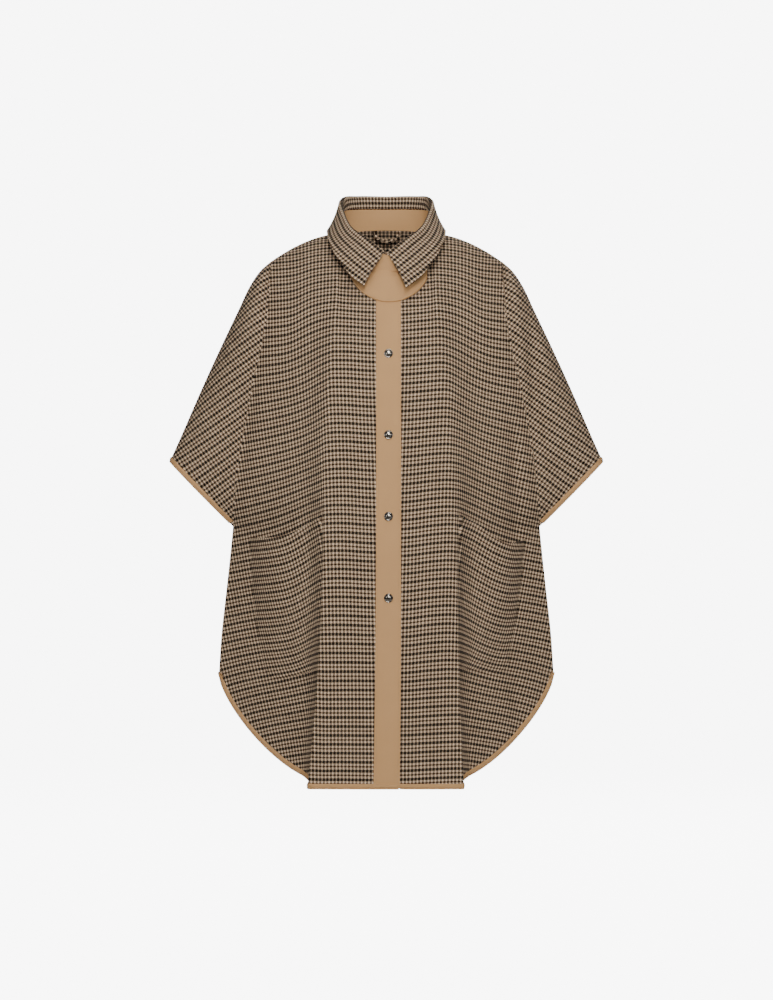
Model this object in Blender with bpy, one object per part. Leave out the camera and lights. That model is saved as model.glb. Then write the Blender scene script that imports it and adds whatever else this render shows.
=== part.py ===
"""A worn poncho of checked wool: fronts and back cut in one with their sleeves, shirt collar, bib, placket, pockets.

Metres, +Z up. The origin is between the neck points of the shoulders and the front of the poncho looks along -Y.
Each panel is a wall of cloth lofted between its seams, and what is sewn on a panel is made from the panel's points.
"""

import math
from dataclasses import dataclass

import bmesh
import bpy
import numpy as np

WALL = 0.002
SEAM_GAP = 0.0003
BINDING_WIDTH = 0.0075
BINDING_THICK = 0.001
BINDING_GAP = 0.0005
CENTRE_OFF = 0.03
UNDERARM_OFF = 0.25

HEM_HALF = 0.268
HEM_CENTRE = -0.8725
HEM_SIDE_TOP = -0.702
HEM_SIDE_DROP = 0.158
HEM_CURVE_START = 0.118
HEM_CURVE_POWER = 1.38

NECK_HALF = 0.074
NECK_SHARE = 0.42
NECK_POINT = 0.004
SHOULDER_HALF = 0.184
SHOULDER_LOW = -0.0405
SHOULDER_CURVE = 1.75
CAP_DROP = 0.130
SHOULDER_START = 0.5
NECK_SIDE_START = 0.66
UNDERARM = 0.4545
BOW = 0.004

PLACKET_HALF = 0.0195
PLACKET_THICK = 0.0012
UNDERLAP = 0.015
LAP_STEP = 0.0031
LAP_END = 0.040

BIB_CENTRE = (0.005, -0.046)
BIB_RADIUS = 0.066
BIB_LIFT = 0.0019
BIB_THICK = 0.0013
BIB_TUCK = 0.010
BIB_FIRST = -0.236
BIB_LAST = 0.284
BIB_COLUMNS = 15

SNAP_ACROSS = 0.0034
SNAP_TOP = -0.193
SNAP_PITCH = 0.1275
SNAP_COUNT = 4
SNAP_TURN = 18

# The side line of a panel: share of the way down, distance out, height, depth from the plane of the side seams.
SIDE_LINE = (
    (0.0000, 0.1840, -0.0405, 0.060),
    (0.1134, 0.1915, -0.1490, 0.066),
    (0.1876, 0.2070, -0.2176, 0.058),
    (0.2701, 0.2230, -0.2940, 0.050),
    (0.3790, 0.2390, -0.3950, 0.036),
    (0.4280, 0.2430, -0.4400, 0.019),
    (0.4545, 0.2453, -0.4646, 0.000),
    (0.6364, 0.2550, -0.5580, 0.000),
    (0.8182, 0.2635, -0.6350, 0.000),
    (1.0000, 0.2680, -0.7020, 0.000),
)

# The top of the sleeve: share of the way from the shoulder to the tip, distance out, height.
SLEEVE_TOP = (
    (0.000, 0.1840, -0.0405),
    (0.064, 0.2010, -0.0555),
    (0.139, 0.2168, -0.0780),
    (0.256, 0.2362, -0.1180),
    (0.452, 0.2674, -0.1834),
    (0.661, 0.2990, -0.2528),
    (0.880, 0.3307, -0.3256),
    (1.000, 0.3464, -0.3603),
)

# The sleeve's fullness: share of the way down, depth from the plane of its top seam.
SLEEVE_FULLNESS = (
    (0.0, 0.060),
    (0.3, 0.060),
    (0.7, 0.046),
    (1.0, 0.036),
)

# The columns of a front, outward from the centre: share of the hem's half width, how far through the front fold.
FRONT_COLUMNS = (
    (0.165, 0.0),
    (0.265, 0.0),
    (0.360, 0.0),
    (0.420, 0.0),
    (0.441, 0.02),
    (0.4465, 0.06),
    (0.451, 0.13),
    (0.4555, 0.25),
    (0.461, 0.5),
    (0.4665, 0.75),
    (0.474, 0.9),
    (0.486, 0.975),
    (0.508, 1.0),
    (0.550, 1.0),
    (0.610, 1.0),
    (0.690, 1.0),
    (0.770, 1.0),
    (0.845, 1.0),
    (0.925, 1.0),
    (1.000, 1.0),
)

BACK_COLUMNS = (0.0, 0.1, 0.2, 0.29, 0.36, 0.42, 0.48, 0.55, 0.62, 0.69, 0.77, 0.85, 0.925, 1.0)

# The columns of a sleeve, as shares of its mouth from the underarm to the tip.
SLEEVE_COLUMNS = (0.14, 0.3, 0.47, 0.63, 0.77, 0.88, 0.96, 1.0)

# The rows of a panel, as shares of the way down. The rows of the two bindings are put in between.
ROWS_ABOVE = (0.0, 0.004, 0.014, 0.032, 0.06, 0.1, 0.15, 0.205, 0.265, 0.325, 0.385)
ROWS_BELOW = (0.515, 0.58, 0.645, 0.71, 0.775, 0.84, 0.9, 0.95)
CUFF_ROW = 0.974

# The collar: how far round the neck from the centre back (0) by the shoulder (1) to the front edge (2), its roll
# and edge points, and the stand's share of the rise.
COLLAR = (
    (0.000, (0.000, 0.064, 0.067), (0.000, 0.085, 0.010), 0.60),
    (0.405, (0.045, 0.052, 0.067), (0.061, 0.074, 0.008), 0.60),
    (0.700, (0.0645, 0.028, 0.063), (0.089, 0.038, 0.008), 0.62),
    (1.000, (0.069, -0.004, 0.042), (0.0945, -0.014, 0.006), 0.68),
    (1.290, (0.057, -0.044, 0.012), (0.084, -0.066, -0.021), 0.74),
    (1.616, (0.030, -0.072, -0.011), (0.059, -0.100, -0.060), 0.78),
    (1.990, (0.0015, -0.084, -0.033), (0.035, -0.114, -0.087), 0.80),
)
COLLAR_STATIONS = (0.0, 0.238, 0.476, 0.69, 0.857, 1.0, 1.143, 1.369, 1.607, 1.826, 1.99)
COLLAR_ROLL = 0.004
STAND_THICK = 0.0024


@dataclass(frozen=True)
class Side:
    """The front or the back of the poncho.

    Fields: the way it faces along Y, its neck seam's depth and height at the centre, how sharply its neck starts,
    the share of its half width where it starts to curve to the side and the power of that curve, its depth at the
    centre down its length, and the depth and tuck of the fold at the edge of its middle.
    """

    facing: float
    neck_depth: float
    neck_height: float
    neck_start: float
    flat_share: float
    curve_power: float
    depth_down: tuple
    fold_down: tuple


# Depth columns: share of the way down, depth at the centre. Fold columns: share, step back, tuck under.
FRONT = Side(
    facing=-1.0,
    neck_depth=0.080,
    neck_height=-0.060,
    neck_start=1.0,
    flat_share=0.441,
    curve_power=1.3,
    depth_down=((0.0, 0.112), (0.14, 0.122), (0.26, 0.129), (0.45, 0.131), (0.7, 0.135), (1.0, 0.140)),
    fold_down=(
        (0.0, 0.000, 0.000),
        (0.2, 0.000, 0.000),
        (0.33, 0.006, 0.0005),
        (0.45, 0.018, 0.001),
        (0.7, 0.028, 0.0015),
        (1.0, 0.036, 0.002),
    ),
)
BACK = Side(
    facing=1.0,
    neck_depth=0.062,
    neck_height=0.015,
    neck_start=0.8,
    flat_share=0.12,
    curve_power=1.7,
    depth_down=((0.0, 0.100), (0.14, 0.112), (0.26, 0.116), (0.45, 0.110), (0.7, 0.115), (1.0, 0.122)),
    fold_down=((0.0, 0.0, 0.0), (1.0, 0.0, 0.0)),
)

# The folds of the back: share of the half width, width, depth at the hem.
BACK_FOLDS = (
    (0.18, 0.080, -0.012),
    (0.40, 0.085, 0.013),
    (0.64, 0.090, -0.010),
)

# The hanger loop: its middle and half its width, its depth, the lean of its ends, its top, sag and section.
LOOP_MIDDLE = 0.001
LOOP_HALF = 0.019
LOOP_DEPTH = 0.0525
LOOP_LEAN = 0.0045
LOOP_TOP = 0.0105
LOOP_SAG = 0.0215
LOOP_WIDE = 0.0072
LOOP_THICK = 0.0052
LOOP_STEPS = 10
LOOP_SIDES = 8

# Each pocket: its name, the hand it lies on, how far it stands off its panel, and the sag of its mouth.
POCKETS = (
    ("pocket_right", -1.0, 0.040, 0.026),
    ("pocket_left", 1.0, 0.034, 0.024),
)
POCKET_TOP = 0.462
POCKET_FOOT = 0.775
POCKET_STEPS = 8

FINISHES = {
    "check wool": (0.36, 0.29, 0.23, 0.9),
    "tan cotton": (0.50, 0.32, 0.18, 0.85),
    "snap metal": (0.62, 0.61, 0.60, 0.3),
}


def ease(share):
    """Smooth start and stop over a share from 0 to 1."""
    share = min(1.0, max(0.0, share))
    return share * share * (3.0 - 2.0 * share)


def through(rows, at):
    """The values of a table's other columns where its first column is `at`, on a smooth curve."""
    rows = np.array(rows, float)
    places = rows[:, 0]
    values = rows[:, 1:]
    last = len(places) - 1
    low = int(np.clip(np.searchsorted(places, at, side="right") - 1, 0, last - 1))
    span = places[low + 1] - places[low]
    share = (min(max(at, places[0]), places[last]) - places[low]) / span
    slopes = np.gradient(values, places, axis=0)
    start = slopes[low] * span
    end = slopes[low + 1] * span
    square = share * share
    cube = square * share
    return (
        (2 * cube - 3 * square + 1) * values[low]
        + (cube - 2 * square + share) * start
        + (3 * square - 2 * cube) * values[low + 1]
        + (cube - square) * end
    )


def straight(rows, at):
    """The values of a table's other columns where its first column is `at`, on straight lines between the rows."""
    rows = np.array(rows, float)
    return np.array([np.interp(at, rows[:, 0], rows[:, k]) for k in range(1, rows.shape[1])])


def top_edge(side, share):
    """Distance out, depth and height of a panel's neck and shoulder seam."""
    size = abs(share)
    if size <= NECK_SHARE:
        turn = 0.5 * math.pi * size / NECK_SHARE
        out = math.copysign(NECK_HALF * math.sin(turn), share)
        height = NECK_POINT + (side.neck_height - NECK_POINT) * math.cos(turn) ** 1.2
        return out, side.neck_depth * math.cos(turn), height
    along = (size - NECK_SHARE) / (1.0 - NECK_SHARE)
    out = NECK_HALF + (SHOULDER_HALF - NECK_HALF) * along
    return math.copysign(out, share), 0.0, NECK_POINT + (SHOULDER_LOW - NECK_POINT) * along**SHOULDER_CURVE


def hem_height(share, folded):
    """Height of the hem: straight across the middle, then curved up to the side seam."""
    out = HEM_HALF * abs(share)
    across = min(1.0, max(0.0, (out - HEM_CURVE_START) / (HEM_HALF - HEM_CURVE_START)))
    curve = HEM_SIDE_TOP - HEM_SIDE_DROP * (1.0 - across**HEM_CURVE_POWER) ** (1.0 / HEM_CURVE_POWER)
    return HEM_CENTRE + (curve - HEM_CENTRE) * folded


def lapped(inner, outer, top, bottom, corners, share, down):
    """A value inside a four-sided patch from the values along its sides and at its corners."""
    inner_top, inner_bottom, outer_top, outer_bottom = corners
    sides = (1 - down) * top + down * bottom + (1 - share) * inner + share * outer
    return (
        sides
        - (1 - share) * (1 - down) * inner_top
        - (1 - share) * down * inner_bottom
        - share * (1 - down) * outer_top
        - share * down * outer_bottom
    )


def plan(side, share, folded, down):
    """Distance out and height of a point of a panel's body."""
    size = abs(share)
    side_out, side_height, _ = through(SIDE_LINE, down)
    top_out, _, top_height = top_edge(side, size)
    bottom_height = hem_height(size, folded)
    centre_height = side.neck_height + (HEM_CENTRE - side.neck_height) * down
    out = lapped(
        0.0, side_out, top_out, HEM_HALF * size, (0.0, 0.0, SHOULDER_HALF, HEM_HALF), size, down
    )
    height = lapped(
        centre_height,
        side_height,
        top_height,
        bottom_height,
        (side.neck_height, HEM_CENTRE, SHOULDER_LOW, HEM_SIDE_TOP),
        size,
        down,
    )
    return math.copysign(out, share), height


def body_point(side, share, folded, down):
    """Distance out, depth and height of a point of a panel's body."""
    out, height = plan(side, share, folded, down)
    step, tuck = straight(side.fold_down, down)
    centre = through(side.depth_down, down)[0]
    side_out, _, side_depth = through(SIDE_LINE, down)
    flat_out, _ = plan(side, side.flat_share, 0.0, down)
    bowed = centre - BOW * min(1.0, abs(out) / flat_out) ** 2
    across = min(1.0, max(0.0, (abs(out) - flat_out) / (side_out - flat_out)))
    root = bowed - step * folded
    lens = side_depth + (root - side_depth) * (1.0 - across**side.curve_power)
    if side is BACK:
        for place, width, depth in BACK_FOLDS:
            lens += depth * ease(down * 1.3 - 0.3) * math.exp(-(((abs(share) - place) / width) ** 2))
    _, top_depth, top_height = top_edge(side, share)
    fallen = min(1.0, max(0.0, (top_height - height) / CAP_DROP))
    if abs(share) > NECK_SHARE:
        start = SHOULDER_START + (NECK_SIDE_START - SHOULDER_START) * (1.0 - abs(share)) / (1.0 - NECK_SHARE)
    else:
        start = NECK_SIDE_START + (side.neck_start - NECK_SIDE_START) * (1.0 - abs(share) / NECK_SHARE)
    depth = top_depth + (lens - top_depth) * (1.0 - (1.0 - fallen) ** 2) ** start
    out -= math.copysign(tuck * math.sin(math.pi * folded), share)
    return out, max(depth, SEAM_GAP / 2), height


def sleeve_point(side, across, down):
    """Distance out, depth and height of a point of a panel's sleeve, which fans out from the shoulder point."""
    out, crease_depth, height = body_point(side, 1.0, 1.0, down * UNDERARM)
    top_out, top_height = through(SLEEVE_TOP, down)
    fallen = min(1.0, (SHOULDER_LOW - height) / CAP_DROP)
    full = through(SLEEVE_FULLNESS, down)[0] * math.sqrt(max(0.0, 1.0 - (1.0 - fallen) ** 2))
    near = (1.0 - across) ** 2
    depth = (crease_depth * near + full * (1.0 - near)) * math.sqrt(max(0.0, 1.0 - across**3))
    place = (1.0 - across) * np.array((out, height)) + across * np.array((top_out, top_height))
    return place[0], max(depth, SEAM_GAP / 2), place[1]


def hem_inset(side, share, folded):
    """Share of the way down where a binding's upper edge lies on a column."""
    here = np.array(body_point(side, share, folded, 1.0))
    above = np.array(body_point(side, share, folded, 0.99))
    other = np.array(body_point(side, share - 0.01, folded, 1.0))
    along = (here - other) / np.linalg.norm(here - other)
    column = here - above
    speed = np.linalg.norm(column - along * np.dot(column, along)) / 0.01
    return 1.0 - BINDING_WIDTH / speed


class Sheet:
    """A sheet of points in rows and columns, with its outward normals and its faces."""

    def __init__(self):
        self.points = {}
        self.seams = set()
        self.quads = []
        self.same = {}
        self.normals = {}

    def put(self, key, point, seam=False):
        """Adds a point, which is on a seam if its wall ends in the plane of the side seams."""
        self.points[key] = np.array(point, float)
        if seam:
            self.seams.add(key)

    def key(self, row, column):
        """The key that a row and column stand for."""
        return self.same.get((row, column), (row, column))

    def add_quad(self, row, column):
        """Adds the face below and to the right of a point."""
        corners = [
            self.key(row, column),
            self.key(row + 1, column),
            self.key(row + 1, column + 1),
            self.key(row, column + 1),
        ]
        self.quads.append([c for k, c in enumerate(corners) if c != corners[k - 1]])

    def close(self, facing):
        """Works out the normals, on the side that `facing` is on along Y for most of the sheet."""
        normals = {key: np.zeros(3) for key in self.points}
        for quad in self.quads:
            p = [self.points[key] for key in quad]
            turn = np.cross(p[2] - p[0], p[-1] - p[1])
            for key in quad:
                normals[key] += turn
        total = sum(n[1] for n in normals.values())
        flip = 1.0 if total * facing > 0 else -1.0
        if flip < 0:
            self.quads = [quad[:1] + quad[:0:-1] for quad in self.quads]
        for key, normal in normals.items():
            if key in self.seams:
                normal[1] = 0.0
            self.normals[key] = flip * normal / np.linalg.norm(normal)

    def at(self, key, lift):
        """A point moved out along its normal."""
        return self.points[key] + self.normals[key] * lift


def rows_of(side, share, folded):
    """The shares of the way down of a column's rows, from the top edge to the hem."""
    above = list(ROWS_ABOVE) + [CUFF_ROW * UNDERARM, UNDERARM]
    return above + list(ROWS_BELOW) + [hem_inset(side, share, folded), 1.0]


def on_column(side, share, folded, down):
    """Distance out, depth and height of a point on the straight lines between the rows of a column."""
    rows = rows_of(side, share, folded)
    low = max(k for k, row in enumerate(rows[:-1]) if row <= down)
    part = (down - rows[low]) / (rows[low + 1] - rows[low])
    upper = np.array(body_point(side, share, folded, rows[low]))
    lower = np.array(body_point(side, share, folded, rows[low + 1]))
    return upper + (lower - upper) * part


UNDERARM_ROW = len(ROWS_ABOVE) + 1
HEM_ROW = UNDERARM_ROW + len(ROWS_BELOW) + 2


def place(side, hand, point):
    """A point in the row frame from its distance out, depth and height."""
    return hand * point[0], side.facing * point[1], point[2]


def half_panel(sheet, side, hand, columns, first, step, inner_lap):
    """Adds half of a panel, from the centre out to the side seam and on to the tip of the sleeve."""
    column = first
    for share, folded in columns:
        for row, down in enumerate(rows_of(side, share, folded)):
            out, depth, height = body_point(side, share, folded, down)
            depth -= inner_lap * (1.0 - ease((out - PLACKET_HALF - 0.002) / (LAP_END - PLACKET_HALF)))
            on_seam = (share >= 1.0 and row >= UNDERARM_ROW) or (row == 0 and share >= NECK_SHARE)
            sheet.put((row, column), place(side, hand, (out, depth, height)), on_seam)
        column += step
    crease = column - step
    for across in SLEEVE_COLUMNS:
        sheet.same[(0, column)] = (0, crease)
        for row, down in enumerate(rows_of(side, 1.0, 1.0)[1 : UNDERARM_ROW + 1], 1):
            point = sleeve_point(side, across, down / UNDERARM)
            sheet.put((row, column), place(side, hand, point), across >= 1.0)
        column += step
    low = min(first, crease)
    for j in range(low, max(first, crease)):
        for row in range(HEM_ROW):
            sheet.add_quad(row, j)
    low = min(crease, column - step)
    for j in range(low, max(crease, column - step)):
        for row in range(UNDERARM_ROW):
            sheet.add_quad(row, j)
    return crease, column - step


def finish(name, group, bm):
    """Makes the named object from a bmesh, with a material of its own in the finish of its group."""
    bmesh.ops.recalc_face_normals(bm, faces=bm.faces)
    if bm.calc_volume(signed=True) < 0.0:
        bmesh.ops.reverse_faces(bm, faces=bm.faces)
    mesh = bpy.data.meshes.new(name)
    bm.to_mesh(mesh)
    bm.free()
    obj = bpy.data.objects.new(name, mesh)
    bpy.context.scene.collection.objects.link(obj)
    material = bpy.data.materials.new(name)
    material.use_nodes = True
    shader = material.node_tree.nodes["Principled BSDF"]
    red, green, blue, rough = FINISHES[group]
    shader.inputs["Base Color"].default_value = (red, green, blue, 1.0)
    shader.inputs["Roughness"].default_value = rough
    shader.inputs["Metallic"].default_value = 1.0 if group == "snap metal" else 0.0
    mesh.materials.append(material)
    return obj


def add_triangles(bm, corners):
    """Adds a face as triangles that all have its first corner."""
    for second, third in zip(corners[1:], corners[2:]):
        bm.faces.new((corners[0], second, third))


def wall(name, group, outer, inner, faces):
    """A closed wall between two sheets of points with the same faces."""
    bm = bmesh.new()
    number = bm.verts.layers.int.new("number")
    verts = []
    for index, point in enumerate(outer):
        vert = bm.verts.new(point)
        vert[number] = index
        verts.append(vert)
    for face in faces:
        add_triangles(bm, [verts[index] for index in face])
    made = bmesh.ops.extrude_face_region(bm, geom=bm.faces[:], use_keep_orig=True)
    moved = {item for item in made["geom"] if isinstance(item, bmesh.types.BMVert)}
    for vert in moved:
        vert.co = inner[vert[number]]
    for face in [face for face in bm.faces if len(face.verts) == 4]:
        first = min((vert for vert in face.verts if vert not in moved), key=lambda vert: vert[number])
        last = max((vert for vert in face.verts if vert in moved), key=lambda vert: vert[number])
        bmesh.utils.face_split(face, first, last)
    return finish(name, group, bm)


def sheet_wall(name, group, sheet, low, high):
    """The wall between two distances out from a sheet."""
    keys = sorted(sheet.points, key=lambda key: key[::-1])
    order = {key: index for index, key in enumerate(keys)}
    faces = [[order[key] for key in quad] for quad in sheet.quads]
    return wall(name, group, [sheet.at(k, high) for k in keys], [sheet.at(k, low) for k in keys], faces)


def grid_faces(rows, columns):
    """The faces of a grid whose points are in row order."""
    return [
        (r * columns + c, (r + 1) * columns + c, (r + 1) * columns + c + 1, r * columns + c + 1)
        for r in range(rows - 1)
        for c in range(columns - 1)
    ]


def sweep(name, group, rings, split_first=()):
    """A closed solid through rings of points, with its two ends filled.

    The sides in split_first are split into triangles from their first corner and the others from their second.
    """
    bm = bmesh.new()
    made = [[bm.verts.new(point) for point in ring] for ring in rings]
    count = len(rings[0])
    for ring, following in zip(made, made[1:]):
        for k in range(count):
            n = (k + 1) % count
            corners = [ring[k], ring[n], following[n], following[k]]
            add_triangles(bm, corners if k in split_first else corners[1:] + corners[:1])
    ends = [bm.faces.new(made[0]), bm.faces.new(made[-1])]
    bmesh.ops.triangulate(bm, faces=ends)
    return finish(name, group, bm)


def binding(name, sheet, edge, above, start_off=0.0, end_off=0.0):
    """A strip folded over an edge of a panel, from the edge's points and those of the row above.

    Its inner face is split into triangles as the panel under it is. The two shares of its first and last steps are
    left off its ends.
    """
    rings = []
    last = len(edge) - 1
    for k, (low, high) in enumerate(zip(edge, above)):
        before = sheet.points[edge[max(k - 1, 0)]]
        after = sheet.points[edge[min(k + 1, last)]]
        along = (after - before) / np.linalg.norm(after - before)
        away = sheet.points[low] - sheet.points[high]
        if low in sheet.seams:
            away[1] = 0.0
        else:
            away -= along * np.dot(away, along)
        away -= sheet.normals[low] * np.dot(away, sheet.normals[low])
        away /= np.linalg.norm(away)
        near = BINDING_GAP
        under = 2 * BINDING_GAP
        far = BINDING_GAP + BINDING_THICK
        ring = (
            sheet.at(high, near),
            sheet.at(high, far),
            sheet.at(low, far) + away * under,
            sheet.at(low, -WALL / 2) + away * (under + BINDING_THICK),
            sheet.at(low, -WALL - far) + away * under,
            sheet.at(high, -WALL - far),
            sheet.at(high, -WALL - near),
            sheet.at(low, -WALL - near) + away * under,
            sheet.at(low, near) + away * under,
        )
        rings.append(np.array(ring))
    rings[0] = rings[0] + (rings[1] - rings[0]) * start_off
    rings[-1] = rings[-1] + (rings[-2] - rings[-1]) * end_off
    return sweep(name, "tan cotton", rings, split_first=(6,))


def front_columns(lap, edge):
    """The columns of a front, from its lapped edge past the centre and the edge of its binding out to the side."""
    return ((-lap / HEM_HALF, 0.0), (0.0, 0.0), (edge / HEM_HALF, 0.0)) + FRONT_COLUMNS


def build_front(label, hand, lap, edge, inner_lap):
    """A front with its sleeve, its hem binding and the front half of its sleeve binding."""
    sheet = Sheet()
    crease, tip = half_panel(sheet, FRONT, hand, front_columns(lap, edge), 0, 1, inner_lap)
    sheet.close(FRONT.facing)
    sheet_wall(f"front_{label}", "check wool", sheet, -WALL, 0.0)
    hem = range(2, crease + 1)
    edge_keys = [(HEM_ROW, j) for j in hem]
    above_keys = [(HEM_ROW - 1, j) for j in hem]
    binding(f"hem_binding_{label}", sheet, edge_keys, above_keys, CENTRE_OFF)
    build_cuff(f"cuff_binding_front_{label}", sheet, range(crease, tip + 1), UNDERARM_OFF, 0.0)
    return sheet


def build_cuff(name, sheet, columns, start_off, end_off):
    """The binding of a sleeve's mouth along one panel."""
    edge = [(UNDERARM_ROW, j) for j in columns]
    above = [(UNDERARM_ROW - 1, j) for j in columns]
    binding(name, sheet, edge, above, start_off, end_off)


def build_back():
    """The back with both sleeves, its hem binding and the back halves of the sleeve bindings."""
    sheet = Sheet()
    columns = [(share, 1.0 if share > 0.44 else ease(share / 0.44)) for share in BACK_COLUMNS]
    crease, tip = half_panel(sheet, BACK, 1.0, columns, 0, 1, 0.0)
    half_panel(sheet, BACK, -1.0, columns, 0, -1, 0.0)
    sheet.close(BACK.facing)
    sheet_wall("back", "check wool", sheet, -WALL, 0.0)
    hem = range(-crease, crease + 1)
    binding("hem_binding_back", sheet, [(HEM_ROW, j) for j in hem], [(HEM_ROW - 1, j) for j in hem])
    build_cuff("cuff_binding_back_left", sheet, range(crease, tip + 1), UNDERARM_OFF, 0.0)
    build_cuff("cuff_binding_back_right", sheet, range(-tip, -crease + 1), 0.0, UNDERARM_OFF)


def build_placket(sheet):
    """The strip down the middle of the right front, from under the bib to the hem."""
    bottom = BIB_CENTRE[1] - BIB_RADIUS + BIB_TUCK
    rows = [row for row in range(HEM_ROW + 1) if sheet.points[(row, 1)][2] < bottom]
    keys = [(row, column) for row in rows for column in range(3)]
    low = BINDING_GAP
    inner = [sheet.at(key, low) for key in keys]
    outer = [sheet.at(key, low + PLACKET_THICK) for key in keys]
    drop = np.array((0.0, 0.0, -(2 * BINDING_GAP + BINDING_THICK)))
    for index in range(len(keys) - 3, len(keys)):
        inner[index] = inner[index] + drop
        outer[index] = outer[index] + drop
    wall("placket", "tan cotton", outer, inner, grid_faces(len(rows), 3))


def bib_edge(share):
    """Share of the way down a column of the front where the bib's round edge crosses it."""
    low = 0.0
    high = 0.2
    for _ in range(40):
        middle = 0.5 * (low + high)
        out, _, height = body_point(FRONT, share, 0.0, middle)
        inside = math.hypot(out - BIB_CENTRE[0], height - BIB_CENTRE[1]) < BIB_RADIUS
        low, high = (middle, high) if inside else (low, middle)
    return low


def build_bib():
    """The rounded throat piece, which lies on both fronts from the neck seam down."""
    shares = np.linspace(BIB_FIRST, BIB_LAST, BIB_COLUMNS)
    rows = (0.04, 0.3, 0.6, 0.85, 1.0)
    sheet = Sheet()
    for column, share in enumerate(shares):
        for row, part in enumerate(rows):
            point = body_point(FRONT, share, 0.0, bib_edge(share) * part)
            sheet.put((row, column), place(FRONT, 1.0, point))
    for column in range(len(shares) - 1):
        for row in range(len(rows) - 1):
            sheet.add_quad(row, column)
    sheet.close(FRONT.facing)
    sheet_wall("neck_bib", "tan cotton", sheet, BIB_LIFT, BIB_LIFT + BIB_THICK)


def build_pocket(name, hand, fullness, sag):
    """A patch pocket, slack enough that its mouth hangs open and its outer side stands off the front."""
    sheet = Sheet()
    columns = [column for column in FRONT_COLUMNS if 0.48 < column[0] < 0.86]
    first = columns[0][0]
    last = columns[-1][0]
    lifts = {}
    for j, (share, folded) in enumerate(columns):
        across = (share - first) / (last - first)
        mouth = POCKET_TOP + sag * math.sin(0.5 * math.pi * across)
        for i in range(POCKET_STEPS + 1):
            part = i / POCKET_STEPS
            down = mouth + (POCKET_FOOT - mouth) * part
            sheet.put((i, j), place(FRONT, hand, on_column(FRONT, share, folded, down)))
            swell = math.sin(math.pi * across**1.25) ** 0.8 * (1.0 - part**2.5) ** 0.8
            lifts[(i, j)] = 2 * SEAM_GAP + fullness * swell
    for j in range(len(columns) - 1):
        for i in range(POCKET_STEPS):
            sheet.add_quad(i, j)
    sheet.close(FRONT.facing)
    keys = list(sheet.points)
    order = {key: index for index, key in enumerate(keys)}
    faces = [[order[key] for key in quad] for quad in sheet.quads]
    raised = Sheet()
    for key in keys:
        raised.put(key, sheet.at(key, lifts[key]))
    raised.quads = [list(quad) for quad in sheet.quads]
    raised.close(FRONT.facing)
    wall(name, "check wool", [raised.at(k, WALL) for k in keys], [raised.at(k, 0.0) for k in keys], faces)


def collar_rows():
    """Neck, roll and edge points and the stand's share at each station from the centre back to one front edge."""
    flat = [(round_neck, *roll, *edge, part) for round_neck, roll, edge, part in COLLAR]
    rows = []
    for station in COLLAR_STATIONS:
        values = through(flat, station)
        side, share = (BACK, station) if station <= 1.0 else (FRONT, 2.0 - station)
        neck = np.array(place(side, 1.0, top_edge(side, share * NECK_SHARE)))
        rows.append((neck, values[0:3], values[3:6], values[6]))
    return rows


def both_hands(points):
    """The points of a half collar on both sides, from one front edge round the back to the other."""
    mirror = np.array((-1.0, 1.0, 1.0))
    return [[p * mirror for p in row] for row in points[:0:-1]] + points


def thick_strip(name, group, rows, thick):
    """A wall through rows of points, thick on the side that its faces turn to."""
    sheet = Sheet()
    for i, row in enumerate(rows):
        for j, point in enumerate(row):
            sheet.put((i, j), point)
    for i in range(len(rows) - 1):
        for j in range(len(rows[0]) - 1):
            sheet.add_quad(i, j)
    sheet.close(1.0)
    keys = list(sheet.points)
    order = {key: index for index, key in enumerate(keys)}
    faces = [[order[key] for key in quad] for quad in sheet.quads]
    outer = [sheet.at(key, thick / 2) for key in keys]
    inner = [sheet.at(key, -thick / 2) for key in keys]
    wall(name, group, outer, inner, faces)


def build_collar():
    """The stand, which rises from the neck seam, and the fall, which rolls over it and lies down on the shoulders."""
    stand = []
    fall = []
    for neck, roll, edge, part in collar_rows():
        rise = roll - neck
        seam = neck + rise * part
        gap = rise / np.linalg.norm(rise) * SEAM_GAP
        stand.append([neck + gap * 8 + (seam - neck) * t for t in (0.0, 0.45, 0.9)])
        fallen = edge - roll
        away = fallen - rise * np.dot(fallen, rise) / np.dot(rise, rise)
        away /= np.linalg.norm(away)
        over = roll + away * COLLAR_ROLL
        out = roll + away * 2.1 * COLLAR_ROLL - rise / np.linalg.norm(rise) * COLLAR_ROLL
        lower = seam + gap * 4
        line = [lower, lower + (roll - lower) * 0.55, roll - rise / np.linalg.norm(rise) * 0.0015]
        line += [over, out]
        line += [out + (edge - out) * t + away * 0.003 * math.sin(math.pi * t) for t in (0.3, 0.65, 1.0)]
        fall.append(line)
    thick_strip("collar_stand", "tan cotton", both_hands(stand), STAND_THICK)
    thick_strip("collar_fall", "check wool", both_hands(fall), WALL)


def build_loop():
    """The hanger loop, a narrow tube hung from the back neck seam, its ends leaning to the seam."""
    rings = []
    for k in range(LOOP_STEPS + 1):
        turn = math.pi * k / LOOP_STEPS
        sag = math.sin(turn)
        centre = np.array(
            (
                LOOP_MIDDLE - LOOP_HALF * math.cos(turn),
                LOOP_DEPTH + LOOP_LEAN * (1.0 - sag),
                LOOP_TOP - LOOP_SAG * sag ** 0.8,
            )
        )
        tangent = np.array((sag + 0.05, 0.0, -math.cos(turn)))
        tangent /= np.linalg.norm(tangent)
        across = np.cross(tangent, (0.0, 1.0, 0.0)) * LOOP_WIDE / 2
        through_depth = np.array((0.0, LOOP_THICK / 2, 0.0))
        angles = [2 * math.pi * s / LOOP_SIDES for s in range(LOOP_SIDES)]
        rings.append([centre + across * math.cos(a) + through_depth * math.sin(a) for a in angles])
    sweep("hanger_loop", "check wool", rings)


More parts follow.
